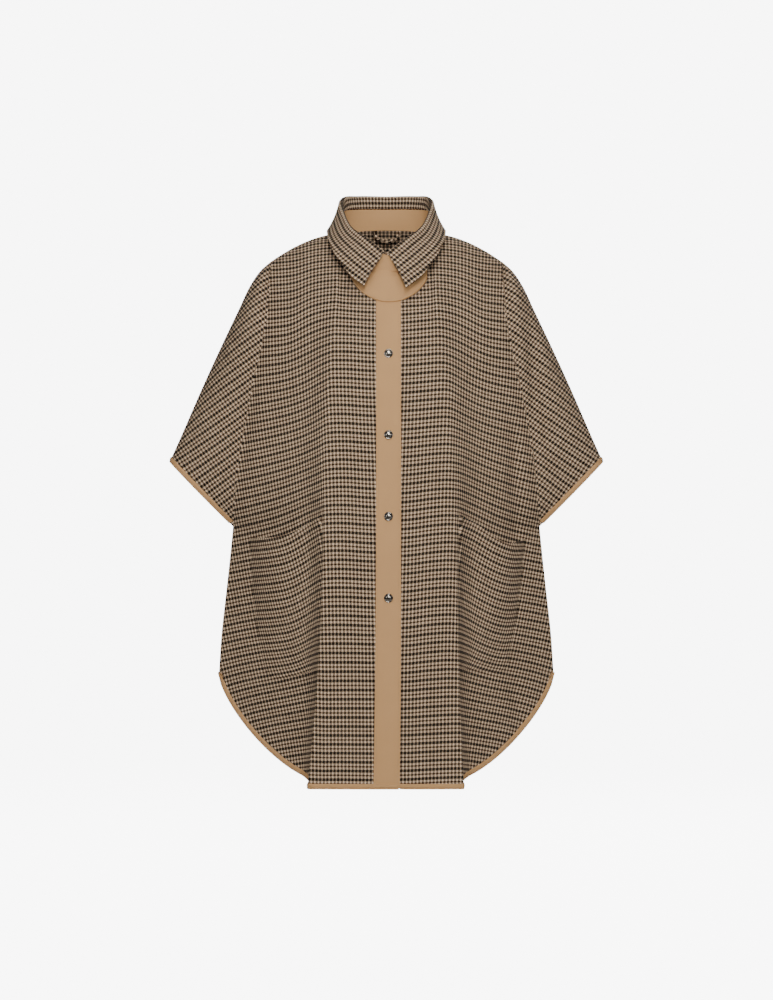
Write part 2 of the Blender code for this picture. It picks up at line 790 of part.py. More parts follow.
def build_snap(name, height):
    """A snap's cap, a shallow dish with a raised rim, turned about its own axis."""
    profile = ((0.0075, 0.0), (0.0075, 0.0012), (0.0064, 0.0024), (0.0046, 0.0022), (0.0024, 0.0029))
    _, depth, _ = body_point(FRONT, 0.0, 0.0, (height - FRONT.neck_height) / (HEM_CENTRE - FRONT.neck_height))
    back = -depth - BINDING_GAP - PLACKET_THICK - 2 * SEAM_GAP
    bm = bmesh.new()
    rings = []
    for radius, lift in profile:
        ring = []
        for k in range(SNAP_TURN):
            turn = 2 * math.pi * k / SNAP_TURN
            ring.append(
                bm.verts.new(
                    (SNAP_ACROSS + radius * math.cos(turn), back - lift, height + radius * math.sin(turn))
                )
            )
        rings.append(ring)
    for ring, following in zip(rings, rings[1:]):
        for k in range(SNAP_TURN):
            n = (k + 1) % SNAP_TURN
            bm.faces.new((ring[k], ring[n], following[n], following[k]))
    bm.faces.new(rings[0])
    bm.faces.new(rings[-1])
    bmesh.ops.triangulate(bm, faces=bm.faces[:])
    finish(name, "snap metal", bm)


def main():
    """Clears the scene and builds every piece."""
    for obj in list(bpy.data.objects):
        bpy.data.objects.remove(obj, do_unlink=True)
    right = build_front("right", -1.0, PLACKET_HALF, PLACKET_HALF, 0.0)
    build_front("left", 1.0, UNDERLAP, PLACKET_HALF + 4 * SEAM_GAP, LAP_STEP)
    build_back()
    build_placket(right)
    build_bib()
    for name, hand, fullness, sag in POCKETS:
        build_pocket(name, hand, fullness, sag)
    build_collar()
    build_loop()
    for index in range(SNAP_COUNT):
        build_snap(f"snap_{index + 1}", SNAP_TOP - SNAP_PITCH * index)


main()
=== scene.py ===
"""Looks of a worn poncho in checked wool with tan cotton trim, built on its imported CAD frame.

Metres, +Z up, in the frame of the CAD model: the origin is between the neck points of the shoulders, the front
looks along -Y and the wearer's left is +X. Every cloth piece is a thin shell on the form of its CAD solid.
"""

import logging
import math
from dataclasses import dataclass, replace
from enum import Enum
from typing import Optional, Sequence

import bmesh
import bpy
import numpy as np
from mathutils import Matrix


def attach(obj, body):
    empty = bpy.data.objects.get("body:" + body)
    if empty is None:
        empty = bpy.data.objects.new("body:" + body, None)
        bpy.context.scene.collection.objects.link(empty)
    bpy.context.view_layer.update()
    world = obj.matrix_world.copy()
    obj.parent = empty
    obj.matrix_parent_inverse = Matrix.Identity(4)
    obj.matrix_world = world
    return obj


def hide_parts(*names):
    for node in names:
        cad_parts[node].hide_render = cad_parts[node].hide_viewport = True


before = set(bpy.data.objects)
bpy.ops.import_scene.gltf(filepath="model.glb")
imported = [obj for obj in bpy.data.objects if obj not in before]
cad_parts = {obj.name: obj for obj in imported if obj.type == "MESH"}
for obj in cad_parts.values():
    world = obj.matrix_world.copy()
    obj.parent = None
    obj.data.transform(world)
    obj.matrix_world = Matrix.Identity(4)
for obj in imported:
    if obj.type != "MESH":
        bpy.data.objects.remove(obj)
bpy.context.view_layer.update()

LOG = logging.getLogger("poncho")
Array = np.ndarray
Table = tuple[tuple[float, ...], ...]
Triple = tuple[float, float, float]
BMesh = bmesh.types.BMesh
Material = bpy.types.Material
Node = bpy.types.Node
NodeTree = bpy.types.NodeTree
Piece = bpy.types.Object
Socket = bpy.types.NodeSocket
SHARP_ANGLE = math.radians(55.0)
CLOTH_GLOSS = 0.02
SNAP_COUNT = 4


class Slot(Enum):
    """The record's material slots."""

    WOOL = "check_wool"
    COTTON = "tan_cotton"
    METAL = "snap_metal"


class Hold(Enum):
    """How a sheet of cloth is held."""

    HUNG = "hung"
    LAID = "laid"
    FOLDED = "folded"


def ease(share: Array) -> Array:
    """Smooth start and stop.

    Args:
        share: Values, used from 0 to 1.

    Returns:
        The eased values, from 0 to 1.
    """
    share = np.clip(share, 0.0, 1.0)
    return share * share * (3.0 - 2.0 * share)


def through(rows: Table, at: Array) -> Array:
    """Looks values up in a table on a smooth curve.

    Args:
        rows: The table, its first column rising.
        at: Where to look, in the first column.

    Returns:
        The other columns' values, in a last axis.
    """
    table = np.array(rows, float)
    places = table[:, 0]
    values = table[:, 1:]
    slopes = np.gradient(values, places, axis=0)
    at = np.clip(np.asarray(at, float), places[0], places[-1])
    low = np.clip(np.searchsorted(places, at, side="right") - 1, 0, len(places) - 2)
    span = places[low + 1] - places[low]
    share = ((at - places[low]) / span)[..., None]
    square = share * share
    cube = square * share
    span = span[..., None]
    return (
        (2 * cube - 3 * square + 1) * values[low]
        + (cube - 2 * square + share) * slopes[low] * span
        + (3 * square - 2 * cube) * values[low + 1]
        + (cube - square) * slopes[low + 1] * span
    )


def charted(rows: Table, columns: Sequence[float], row_at: Array, column_at: Array) -> Array:
    """Looks values up in a two-way table on straight lines.

    Args:
        rows: The table, with the row's place first in each row.
        columns: The places of the table's columns.
        row_at: Where to look down the rows.
        column_at: Where to look across the columns.

    Returns:
        The values.
    """
    table = np.array(rows, float)
    row_at = np.clip(row_at, table[0, 0], table[-1, 0])
    low = np.clip(np.searchsorted(table[:, 0], row_at, side="right") - 1, 0, len(table) - 2)
    part = (row_at - table[low, 0]) / (table[low + 1, 0] - table[low, 0])
    across = np.array([np.interp(column_at, columns, row) for row in table[:, 1:]])
    upper = np.take_along_axis(across, low[None], axis=0)[0]
    lower = np.take_along_axis(across, low[None] + 1, axis=0)[0]
    return upper + (lower - upper) * part


def lapped(
    inner: Array, outer: Array, top: Array, bottom: Array, corners: Sequence[float], share: Array, down: Array
) -> Array:
    """Fills a four-sided patch from the values along its sides.

    Args:
        inner: Values down the inner side.
        outer: Values down the outer side.
        top: Values along the top.
        bottom: Values along the bottom.
        corners: The values at inner top, inner bottom, outer top and outer bottom.
        share: The way across, from 0 to 1.
        down: The way down, from 0 to 1.

    Returns:
        The values inside the patch.
    """
    inner_top, inner_bottom, outer_top, outer_bottom = corners
    return (
        (1 - down) * (top - (1 - share) * inner_top - share * outer_top)
        + down * (bottom - (1 - share) * inner_bottom - share * outer_bottom)
        + (1 - share) * inner
        + share * outer
    )


def unit(vectors: Array) -> Array:
    """Scales vectors to length 1.

    Args:
        vectors: Vectors in the last axis.

    Returns:
        The unit vectors.
    """
    return vectors / np.maximum(np.linalg.norm(vectors, axis=-1, keepdims=True), 1e-12)


@dataclass(frozen=True)
class Side:
    """The front or the back of the poncho.

    Fields: the way it faces along Y, its neck seam's depth and height at the centre, how sharply its neck
    starts, where along its half width it starts to curve to the side and the power of that curve, its depth at
    the centre down its length, and the fold at the edge of its middle: share of the way down, step back, tuck,
    width and the share of the half width where it starts. A straight top leans in one line to the neck.
    """

    facing: float
    neck_depth: float
    neck_height: float
    neck_start: float
    flat_share: float
    curve_power: float
    depth_down: Table
    fold_down: Table
    straight_top: bool


FRONT = Side(
    facing=-1.0,
    neck_depth=0.080,
    neck_height=-0.060,
    neck_start=1.0,
    flat_share=0.441,
    curve_power=1.08,
    depth_down=((0.0, 0.112), (0.14, 0.122), (0.26, 0.129), (0.45, 0.131), (0.7, 0.135), (1.0, 0.140)),
    fold_down=(
        (0.00, 0.000, 0.000, 0.24, 0.395),
        (0.08, 0.002, 0.000, 0.24, 0.395),
        (0.18, 0.012, 0.000, 0.23, 0.395),
        (0.33, 0.016, 0.000, 0.20, 0.391),
        (0.45, 0.022, 0.002, 0.14, 0.386),
        (0.55, 0.034, 0.005, 0.11, 0.388),
        (0.70, 0.040, 0.006, 0.09, 0.400),
        (0.85, 0.044, 0.007, 0.06, 0.424),
        (1.00, 0.049, 0.008, 0.045, 0.458),
    ),
    straight_top=True,
)
# The left front's fold starts elsewhere, row by row.
LEFT_STARTS = (0.410, 0.410, 0.435, 0.455, 0.450, 0.442, 0.436, 0.437, 0.451)
LEFT_FRONT = replace(
    FRONT, fold_down=tuple((*row[:-1], start) for row, start in zip(FRONT.fold_down, LEFT_STARTS))
)
BACK = Side(
    facing=1.0,
    neck_depth=0.062,
    neck_height=0.015,
    neck_start=0.8,
    flat_share=0.12,
    curve_power=1.7,
    depth_down=((0.0, 0.100), (0.14, 0.112), (0.26, 0.116), (0.45, 0.110), (0.7, 0.115), (1.0, 0.122)),
    fold_down=((0.0, 0.0, 0.0, 0.2, 0.4), (1.0, 0.0, 0.0, 0.2, 0.4)),
    straight_top=False,
)


@dataclass(frozen=True)
class Crease:
    """A soft crease of a front, as it is seen from the front.

    Fields: the points that it runs through as distance out and height, half its width, how far it stands out
    (or lies in, below 0), the hands of the fronts that have it, how it fades to its ends, and the depth of the
    front over which it comes up from the side seam.
    """

    path: Table
    width: float
    lift: float
    hands: tuple[float, ...]
    fade: float = 0.6
    clear: float = 0.04


@dataclass(frozen=True)
class Cut:
    """The poncho's cut and its worn form, with the sizes of the CAD model."""

    wall: float = 0.002
    hem_half: float = 0.268
    hem_centre: float = -0.8725
    hem_side_top: float = -0.702
    hem_side_drop: float = 0.158
    hem_curve_start: float = 0.118
    hem_curve_power: float = 1.38
    neck_half: float = 0.074
    neck_share: float = 0.42
    neck_point: float = 0.004
    neck_power: float = 1.2
    shoulder_half: float = 0.184
    shoulder_low: float = -0.0405
    shoulder_curve: float = 1.75
    cap_drop: float = 0.130
    shoulder_start: float = 0.5
    neck_side_start: float = 0.66
    underarm: float = 0.4545
    bow: float = 0.004
    top_blend: float = 0.25
    back_hem_curve: float = 0.44
    back_fold_rate: float = 1.3
    # The side line: share of the way down, distance out, height, depth from the plane of the side seams.
    side_line: Table = (
        (0.0000, 0.1840, -0.0405, 0.060), (0.1134, 0.1915, -0.1490, 0.066),
        (0.1876, 0.2070, -0.2176, 0.058), (0.2701, 0.2230, -0.2940, 0.050),
        (0.3790, 0.2390, -0.3950, 0.036), (0.4280, 0.2430, -0.4400, 0.019),
        (0.4545, 0.2453, -0.4646, 0.000), (0.6364, 0.2550, -0.5580, 0.000),
        (0.8182, 0.2635, -0.6350, 0.000), (1.0000, 0.2680, -0.7020, 0.000),
    )
    # The top of the sleeve: share of the way from the shoulder to the tip, distance out, height.
    sleeve_top: Table = (
        (0.000, 0.1840, -0.0405), (0.064, 0.2010, -0.0555), (0.139, 0.2168, -0.0780),
        (0.256, 0.2362, -0.1180), (0.452, 0.2674, -0.1834), (0.661, 0.2990, -0.2528),
        (0.880, 0.3307, -0.3256), (1.000, 0.3464, -0.3603),
    )
    # The sleeve's fullness: share of the way down, depth from the plane of its top seam.
    sleeve_fullness: Table = ((0.0, 0.060), (0.3, 0.060), (0.7, 0.046), (1.0, 0.036))
    # The folds of the back: share of the half width, width, depth at the hem.
    back_folds: Table = ((0.18, 0.080, -0.012), (0.40, 0.085, 0.013), (0.64, 0.090, -0.010))

    def top_edge(self, side: Side, share: Array) -> tuple[Array, Array, Array]:
        """Follows a panel's neck and shoulder seam.

        Args:
            side: The front or the back.
            share: The way out from the centre, from -1 to 1.

        Returns:
            Distance out, depth and height.
        """
        size = np.abs(share)
        turn = 0.5 * math.pi * np.minimum(size / self.neck_share, 1.0)
        along = np.clip((size - self.neck_share) / (1.0 - self.neck_share), 0.0, 1.0)
        cosine = np.maximum(np.cos(turn), 0.0)
        on_neck = size <= self.neck_share
        on_shoulder = self.neck_half + (self.shoulder_half - self.neck_half) * along
        out = np.where(on_neck, self.neck_half * np.sin(turn), on_shoulder)
        depth = np.where(on_neck, side.neck_depth * cosine, 0.0)
        neck = self.neck_point + (side.neck_height - self.neck_point) * cosine**self.neck_power
        shoulder = self.neck_point + (self.shoulder_low - self.neck_point) * along**self.shoulder_curve
        return np.copysign(out, share), depth, np.where(on_neck, neck, shoulder)

    def folded(self, side: Side, share: Array, down: Array) -> Array:
        """How far through the fold at the edge of the middle a point is.

        Args:
            side: The front or the back.
            share: The way out from the centre.
            down: The way down.

        Returns:
            Values from 0 in the middle to 1 outside the fold.
        """
        _, _, width, start = np.moveaxis(through(side.fold_down, down), -1, 0)
        return ease((np.abs(share) - start) / width)

    def hem_height(self, side: Side, share: Array) -> Array:
        """Height of the hem: straight across the middle, then curved up to the side seam.

        Args:
            side: The front or the back.
            share: The way out from the centre.

        Returns:
            The heights.
        """
        out = self.hem_half * np.abs(share)
        across = np.clip((out - self.hem_curve_start) / (self.hem_half - self.hem_curve_start), 0.0, 1.0)
        rise = (1.0 - across**self.hem_curve_power) ** (1.0 / self.hem_curve_power)
        curve = self.hem_side_top - self.hem_side_drop * rise
        if side is BACK:
            step = ease(np.abs(share) / self.back_hem_curve)
        else:
            step = self.folded(side, share, np.ones_like(out))
        return self.hem_centre + (curve - self.hem_centre) * step

    def plan(self, side: Side, share: Array, down: Array) -> tuple[Array, Array]:
        """Finds points of a panel's body as they are seen from the front.

        Args:
            side: The front or the back.
            share: The way out from the centre.
            down: The way down.

        Returns:
            Distance out and height.
        """
        size = np.abs(share)
        side_line = through(self.side_line, down)
        top_out, _, top_height = self.top_edge(side, size)
        centre_height = side.neck_height + (self.hem_centre - side.neck_height) * down
        out = lapped(
            0.0, side_line[..., 0], top_out, self.hem_half * size,
            (0.0, 0.0, self.shoulder_half, self.hem_half), size, down,
        )
        height = lapped(
            centre_height, side_line[..., 1], top_height, self.hem_height(side, size),
            (side.neck_height, self.hem_centre, self.shoulder_low, self.hem_side_top), size, down,
        )
        return np.copysign(out, share), height

    def body(self, side: Side, share: Array, down: Array) -> Array:
        """Finds points of a panel's body.

        Args:
            side: The front or the back.
            share: The way out from the centre, below 0 past the centre.
            down: The way down, from 0 at the neck and shoulder to 1 at the hem.

        Returns:
            Distance out, depth and height in a last axis.
        """
        share, down = np.broadcast_arrays(np.asarray(share, float), np.asarray(down, float))
        out, height = self.plan(side, share, down)
        step, tuck, _, _ = np.moveaxis(through(side.fold_down, down), -1, 0)
        folded = self.folded(side, share, down)
        centre = through(side.depth_down, down)[..., 0]
        side_line = through(self.side_line, down)
        flat_out, _ = self.plan(side, np.full_like(share, side.flat_share), down)
        bowed = centre - self.bow * np.minimum(1.0, np.abs(out) / flat_out) ** 2
        across = np.clip((np.abs(out) - flat_out) / (side_line[..., 0] - flat_out), 0.0, 1.0)
        root = bowed - step * folded
        at_side = np.maximum(side_line[..., 2], 0.0)
        lens = at_side + (root - at_side) * (1.0 - across**side.curve_power)
        if side is BACK:
            grown = ease(self.back_fold_rate * down + 1.0 - self.back_fold_rate)
            for place, width, depth in self.back_folds:
                lens = lens + depth * grown * np.exp(-(((np.abs(share) - place) / width) ** 2))
        _, top_depth, top_height = self.top_edge(side, share)
        rise = self.risen(side, (top_height - height) / self.cap_drop)
        size = np.abs(share)
        to_neck = (1.0 - size) / (1.0 - self.neck_share)
        outer = self.shoulder_start + (self.neck_side_start - self.shoulder_start) * to_neck
        to_centre = 1.0 - size / self.neck_share
        inner = self.neck_side_start + (side.neck_start - self.neck_side_start) * to_centre
        start = np.where(size > self.neck_share, outer, inner)
        depth = top_depth + (lens - top_depth) * rise**start
        out = out - np.copysign(tuck * np.sin(math.pi * folded), share)
        return np.stack((out, np.maximum(depth, 0.0), height), axis=-1)

    def down_at(self, height: float) -> float:
        """Finds a height on the centre front.

        Args:
            height: The height.

        Returns:
            The share of the way down.
        """
        return (height - FRONT.neck_height) / (self.hem_centre - FRONT.neck_height)

    def risen(self, side: Side, fallen: Array) -> Array:
        """How far the cloth has come out to its full depth below the neck and shoulder seam.

        Args:
            side: The front or the back.
            fallen: The way down from the seam, as a share of the drop of the shoulder's cap.

        Returns:
            Values from 0 at the seam to 1.
        """
        if side.straight_top:
            past = np.clip(fallen - 1.0 + self.top_blend, 0.0, 2.0 * self.top_blend)
            straight = np.minimum(fallen, 1.0 + self.top_blend)
            return np.clip(straight - past**2 / (4.0 * self.top_blend), 0.0, 1.0)
        return 1.0 - (1.0 - np.clip(fallen, 0.0, 1.0)) ** 2

    def found(self, side: Side, out: Array, height: Array) -> tuple[Array, Array]:
        """Finds where a panel's body has points that are seen from the front.

        Args:
            side: The front or the back.
            out: Distances out.
            height: Heights.

        Returns:
            The ways out from the centre and down.
        """
        share = out / self.hem_half
        down = (side.neck_height - height) / (side.neck_height - self.hem_centre)
        small = 1e-4
        tries = 12
        damped = 0.8
        for _ in range(tries):
            at_out, at_height = self.plan(side, share, down)
            across_out, across_height = self.plan(side, share + small, down)
            down_out, down_height = self.plan(side, share, down + small)
            a = (across_out - at_out) / small
            b = (down_out - at_out) / small
            c = (across_height - at_height) / small
            d = (down_height - at_height) / small
            need_out = out - at_out
            need_height = height - at_height
            size = a * d - b * c
            share = share + damped * (d * need_out - b * need_height) / size
            down = down + damped * (a * need_height - c * need_out) / size
        return share, down

    def sleeve(self, side: Side, across: Array, down: Array) -> Array:
        """Finds points of a panel's sleeve, which fans out from the shoulder point.

        Args:
            side: The front or the back.
            across: The way from the body to the top seam, from 0 to 1.
            down: The way from the shoulder to the mouth, from 0 to 1.

        Returns:
            Distance out, depth and height in a last axis.
        """
        across, down = np.broadcast_arrays(np.asarray(across, float), np.asarray(down, float))
        crease = self.body(side, np.ones_like(down), down * self.underarm)
        top = through(self.sleeve_top, down)
        fallen = np.minimum(1.0, (self.shoulder_low - crease[..., 2]) / self.cap_drop)
        cap = np.sqrt(np.maximum(0.0, 1.0 - (1.0 - fallen) ** 2))
        full = through(self.sleeve_fullness, down)[..., 0] * cap
        near = (1.0 - across) ** 2
        depth = (crease[..., 1] * near + full * (1.0 - near)) * np.sqrt(np.maximum(0.0, 1.0 - across**3))
        out = (1.0 - across) * crease[..., 0] + across * top[..., 0]
        height = (1.0 - across) * crease[..., 2] + across * top[..., 1]
        return np.stack((out, np.maximum(depth, 0.0), height), axis=-1)


def placed(side: Side, hand: float, points: Array) -> Array:
    """Turns distance out, depth and height into points of the shared frame.

    Args:
        side: The front or the back.
        hand: 1 for the wearer's left, -1 for the right.
        points: Distance out, depth and height in the last axis.

    Returns:
        The points.
    """
    return points * np.array((hand, side.facing, 1.0))


def solved(
    first: Array, second: Array, weight: Array, wanted: Array, start: Array, pull: Array, held: Array
) -> Array:
    """Finds values at points whose steps along edges are nearest to wanted ones, by conjugate gradients.

    Args:
        first: The number of each edge's first point.
        second: The number of each edge's second point.
        weight: Each edge's weight.
        wanted: Each edge's wanted step.
        start: The values to start from.
        pull: How strongly each point is held.
        held: The values that points are held to.

    Returns:
        The values.
    """
    count = len(start)
    most_steps = 900
    near_enough = 1e-12

    def gather(values: Array) -> Array:
        """Adds each edge's value to its second point and takes it from its first.

        Args:
            values: One value an edge.

        Returns:
            The sums at the points.
        """
        return np.bincount(second, values, count) - np.bincount(first, values, count)

    total = np.bincount(first, weight, count) + np.bincount(second, weight, count) + pull + 1e-9
    now = start.copy()
    left = gather(weight * (wanted - (now[second] - now[first]))) + pull * (held - now)
    eased = left / total
    way = eased.copy()
    power = left @ eased
    for _ in range(most_steps):
        moved = gather(weight * (way[second] - way[first])) + pull * way
        size = power / max(way @ moved, 1e-30)
        now += size * way
        left -= size * moved
        eased = left / total
        following = left @ eased
        if following < near_enough:
            break
        way = eased + way * (following / power)
        power = following
    return now


class Sheet:
    """A sheet of points with its faces, outward normals and weave coordinates, made of welded grids.

    Args:
        facing: The side along Y that most of the sheet's outer face looks to.
    """

    anchor_pull = 1.0e6
    near_count = 12
    upright = 0.05
    least_square = 1.0e-7

    def __init__(self, facing: float) -> None:
        self.facing = facing
        self.points = np.zeros((0, 3))
        self.grids: list[Array] = []
        self.mirrored: list[bool] = []
        self.islands: list[int] = []
        self.seams: set[int] = set()
        self.normals = np.zeros((0, 3))
        self.facings = np.zeros((0, 3))
        self.weave = np.zeros((1, 0, 2))

    def add(
        self, points: Array, shared: Optional[Array] = None, mirrored: bool = False, island: int = 0
    ) -> Array:
        """Adds a grid of points.

        Args:
            points: The grid, rows by columns by 3.
            shared: For each point, the number of the point that it is welded to, or -1.
            mirrored: Whether the grid is wound the other way.
            island: The number of the stretch of cloth that the grid's weave belongs to.

        Returns:
            The numbers of the grid's points.
        """
        rows, columns = points.shape[:2]
        numbers = np.full((rows, columns), -1) if shared is None else shared.copy()
        fresh = numbers < 0
        numbers[fresh] = len(self.points) + np.arange(fresh.sum())
        self.points = np.concatenate((self.points, points[fresh]))
        self.grids.append(numbers)
        self.mirrored.append(mirrored)
        self.islands.append(island)
        return numbers

    def corners(self, island: Optional[int] = None) -> Array:
        """Lists the faces.

        Args:
            island: The stretch of cloth whose faces are wanted, or None for all.

        Returns:
            Four point numbers a face; a number comes twice where the face is a triangle.
        """
        quads = []
        for grid, mirrored, number in zip(self.grids, self.mirrored, self.islands):
            if island not in (None, number):
                continue
            faces = np.stack((grid[:-1, :-1], grid[1:, :-1], grid[1:, 1:], grid[:-1, 1:]), axis=-1)
            faces = faces.reshape(-1, 4)
            quads.append(faces[:, ::-1] if mirrored else faces)
        return np.concatenate(quads)

    def close(self) -> None:
        """Works out the way the sheet faces, and its normals, which stay in the seams' plane at the seams."""
        quads = self.corners()
        p = self.points[quads]
        turn = np.cross(p[:, 2] - p[:, 0], p[:, 3] - p[:, 1])
        normals = np.zeros_like(self.points)
        for k in range(4):
            np.add.at(normals, quads[:, k], turn)
        if normals[:, 1].sum() * self.facing < 0:
            normals = -normals
        self.facings = unit(normals)
        if self.seams:
            normals[list(self.seams), 1] = 0.0
        self.normals = unit(normals)

    def edges(self, island: int) -> Array:
        """Lists the edges of a stretch of cloth along the rows and columns and across each face.

        Args:
            island: The stretch of cloth.

        Returns:
            Pairs of point numbers.
        """
        quads = self.corners(island)
        sides = ([0, 1], [1, 2], [2, 3], [3, 0], [0, 2], [1, 3])
        pairs = np.concatenate([quads[:, side] for side in sides])
        pairs = np.unique(np.sort(pairs, axis=1), axis=0)
        return pairs[pairs[:, 0] != pairs[:, 1]]

    def lay_weave(
        self,
        weft: Array,
        warp: Optional[Array] = None,
        anchors: Sequence[Array] = (),
        hold: Optional[Array] = None,
    ) -> None:
        """Lays the cloth's threads along the sheet, as evenly as their directions allow.

        Args:
            weft: The weft's direction at each point.
            warp: The warp's direction at each point, or None where it is square to the weft.
            anchors: The numbers of points whose weave coordinates are known, and those coordinates, if any.
            hold: How firmly the warp keeps its direction at each point, or None where it is even.
        """
        hold = np.ones(len(self.points)) if hold is None else hold
        weft = unit(weft - self.facings * np.sum(weft * self.facings, axis=1, keepdims=True))
        down = np.cross(self.facings, weft)
        if abs(down[:, 2].mean()) > self.upright:
            down *= -np.sign(down[:, 2].mean())
        across = weft
        if warp is not None:
            across = unit(np.cross(warp, self.facings))
            across *= np.sign(np.sum(across * weft, axis=1, keepdims=True))
        count = len(self.points)
        self.weave = np.zeros((max(self.islands) + 1, count, 2))
        pull = np.zeros(count)
        held = np.zeros((count, 2))
        if anchors:
            pull[anchors[0]] = self.anchor_pull
            held[anchors[0]] = anchors[1]
        for island in sorted(set(self.islands)):
            first, second = self.edges(island).T
            step = self.points[second] - self.points[first]
            weight = 1.0 / (np.sum(step * step, axis=1) + self.least_square)
            start = np.stack((self.points[:, 0], -self.points[:, 2]), axis=1)
            for axis, way in enumerate((across, down)):
                wanted = np.sum(step * unit(way[first] + way[second]), axis=1)
                kept = weight * hold[first] * hold[second] if axis == 0 else weight
                laid = solved(first, second, kept, wanted, start[:, axis], pull, held[:, axis])
                self.weave[island, :, axis] = laid

    def lay_flat(self) -> None:
        """Lays the weave square to the view from the front."""
        self.weave = self.points[None][:, :, [0, 2]]

    def weave_near(self, points: Array) -> Array:
        """Reads the weave of the first stretch of cloth where other points lie on it.

        Args:
            points: The points.

        Returns:
            Their weave coordinates.
        """
        found = np.zeros((len(points), 2))
        inside = np.unique(self.corners(0))
        for k, point in enumerate(points):
            off = self.points[inside] - point
            near = np.argsort(np.sum(off * off, axis=1))[: self.near_count]
            rows = np.concatenate((np.ones((self.near_count, 1)), off[near]), axis=1)
            found[k] = np.linalg.lstsq(rows, self.weave[0, inside[near]], rcond=1e-3)[0][0]
        return found

    def shell(self, name: str, low: float | Array, high: float | Array) -> Piece:
        """Makes the closed shell between two distances out from the sheet.

        Args:
            name: The object's name.
            low: Distance of the inner face.
            high: Distance of the outer face.

        Returns:
            The object.
        """
        bm = bmesh.new()
        number = bm.verts.layers.int.new("number")
        stretch = bm.faces.layers.int.new("stretch")
        kept: dict[int, bmesh.types.BMVert] = {}
        welds: dict[bmesh.types.BMVert, bmesh.types.BMVert] = {}
        for grid, island in zip(self.grids, self.islands):
            rows, columns = grid.shape
            before = len(bm.faces)
            made = bmesh.ops.create_grid(bm, x_segments=columns - 1, y_segments=rows - 1, size=1.0)
            bm.faces.ensure_lookup_table()
            for face in bm.faces[before:]:
                face[stretch] = island
            for vert, index in zip(made["verts"], grid.ravel().tolist()):
                vert[number] = index
                if index in kept:
                    welds[vert] = kept[index]
                else:
                    kept[index] = vert
        outer = self.points + self.normals * high
        inner = self.points + self.normals * low
        for vert in bm.verts:
            vert.co = outer[vert[number]]
        bmesh.ops.weld_verts(bm, targetmap=welds)
        made = bmesh.ops.extrude_face_region(bm, geom=bm.faces[:], use_keep_orig=True)
        for vert in (item for item in made["geom"] if isinstance(item, bmesh.types.BMVert)):
            vert.co = inner[vert[number]]
        bmesh.ops.recalc_face_normals(bm, faces=bm.faces)
        if bm.calc_volume(signed=True) < 0.0:
            bmesh.ops.reverse_faces(bm, faces=bm.faces)
        if self.weave.shape[1]:
            layer = bm.loops.layers.uv.new("weave")
            for face in bm.faces:
                for loop in face.loops:
                    loop[layer].uv = self.weave[face[stretch], loop.vert[number]]
        return made_object(name, bm)


def made_object(name: str, bm: BMesh) -> Piece:
    """Makes a smooth-shaded object from a bmesh and frees it.

    Args:
        name: The object's name.
        bm: The bmesh.

    Returns:
        The object, linked to the scene.
    """
    mesh = bpy.data.meshes.new(name)
    bm.to_mesh(mesh)
    bm.free()
    mesh.polygons.foreach_set("use_smooth", [True] * len(mesh.polygons))
    mesh.set_sharp_from_angle(angle=SHARP_ANGLE)
    obj = bpy.data.objects.new(name, mesh)
    bpy.context.scene.collection.objects.link(obj)
    return obj


class Graph:
    """Adds nodes to a node tree.

    Args:
        tree: The node tree.
    """

    def __init__(self, tree: NodeTree) -> None:
        self.tree = tree

    def node(self, kind: str, **settings: object) -> Node:
        """Adds a node.

        Args:
            kind: The node's type.
            settings: The node's properties.

        Returns:
            The node.
        """
        node = self.tree.nodes.new(kind)
        for key, value in settings.items():
            setattr(node, key, value)
        return node

    def feed(self, socket: Socket, value: object) -> None:
        """Links a socket to another, or sets its value.

        Args:
            socket: The input socket.
            value: An output socket or a plain value.
        """
        if isinstance(value, Socket):
            self.tree.links.new(value, socket)
        else:
            socket.default_value = value

    def math(self, operation: str, *values: object) -> Socket:
        """Adds a math node.

        Args:
            operation: The operation's name.
            values: Its inputs, sockets or numbers.

        Returns:
            Its output.
        """
        node = self.node("ShaderNodeMath", operation=operation)
        for socket, value in zip(node.inputs, values):
            self.feed(socket, value)
        return node.outputs[0]

    def mix(self, factor: object, first: object, second: object, blend: str = "MIX") -> Socket:
        """Adds a colour mix node.

        Args:
            factor: How much of the second colour.
            first: The first colour.
            second: The second colour.
            blend: The blend type.

        Returns:
            Its output.
        """
        node = self.node("ShaderNodeMix", data_type="RGBA", blend_type=blend)
        self.feed(node.inputs[0], factor)
        self.feed(node.inputs[6], first)
        self.feed(node.inputs[7], second)
        return node.outputs[2]

    def between(self, value: object, low: float, high: float) -> Socket:
        """Stretches a value that runs from 0 to 1.

        Args:
            value: The value.
            low: What 0 becomes.
            high: What 1 becomes.

        Returns:
            The result.
        """
        return self.math("MULTIPLY_ADD", value, high - low, low)

    def noise(self, vector: object, scale: float, detail: float) -> Socket:
        """Adds a noise texture.

        Args:
            vector: Where it is read.
            scale: Its scale.
            detail: Its detail.

        Returns:
            Its value.
        """
        node = self.node("ShaderNodeTexNoise")
        self.feed(node.inputs["Vector"], vector)
        node.inputs["Scale"].default_value = scale
        node.inputs["Detail"].default_value = detail
        return node.outputs["Fac"]


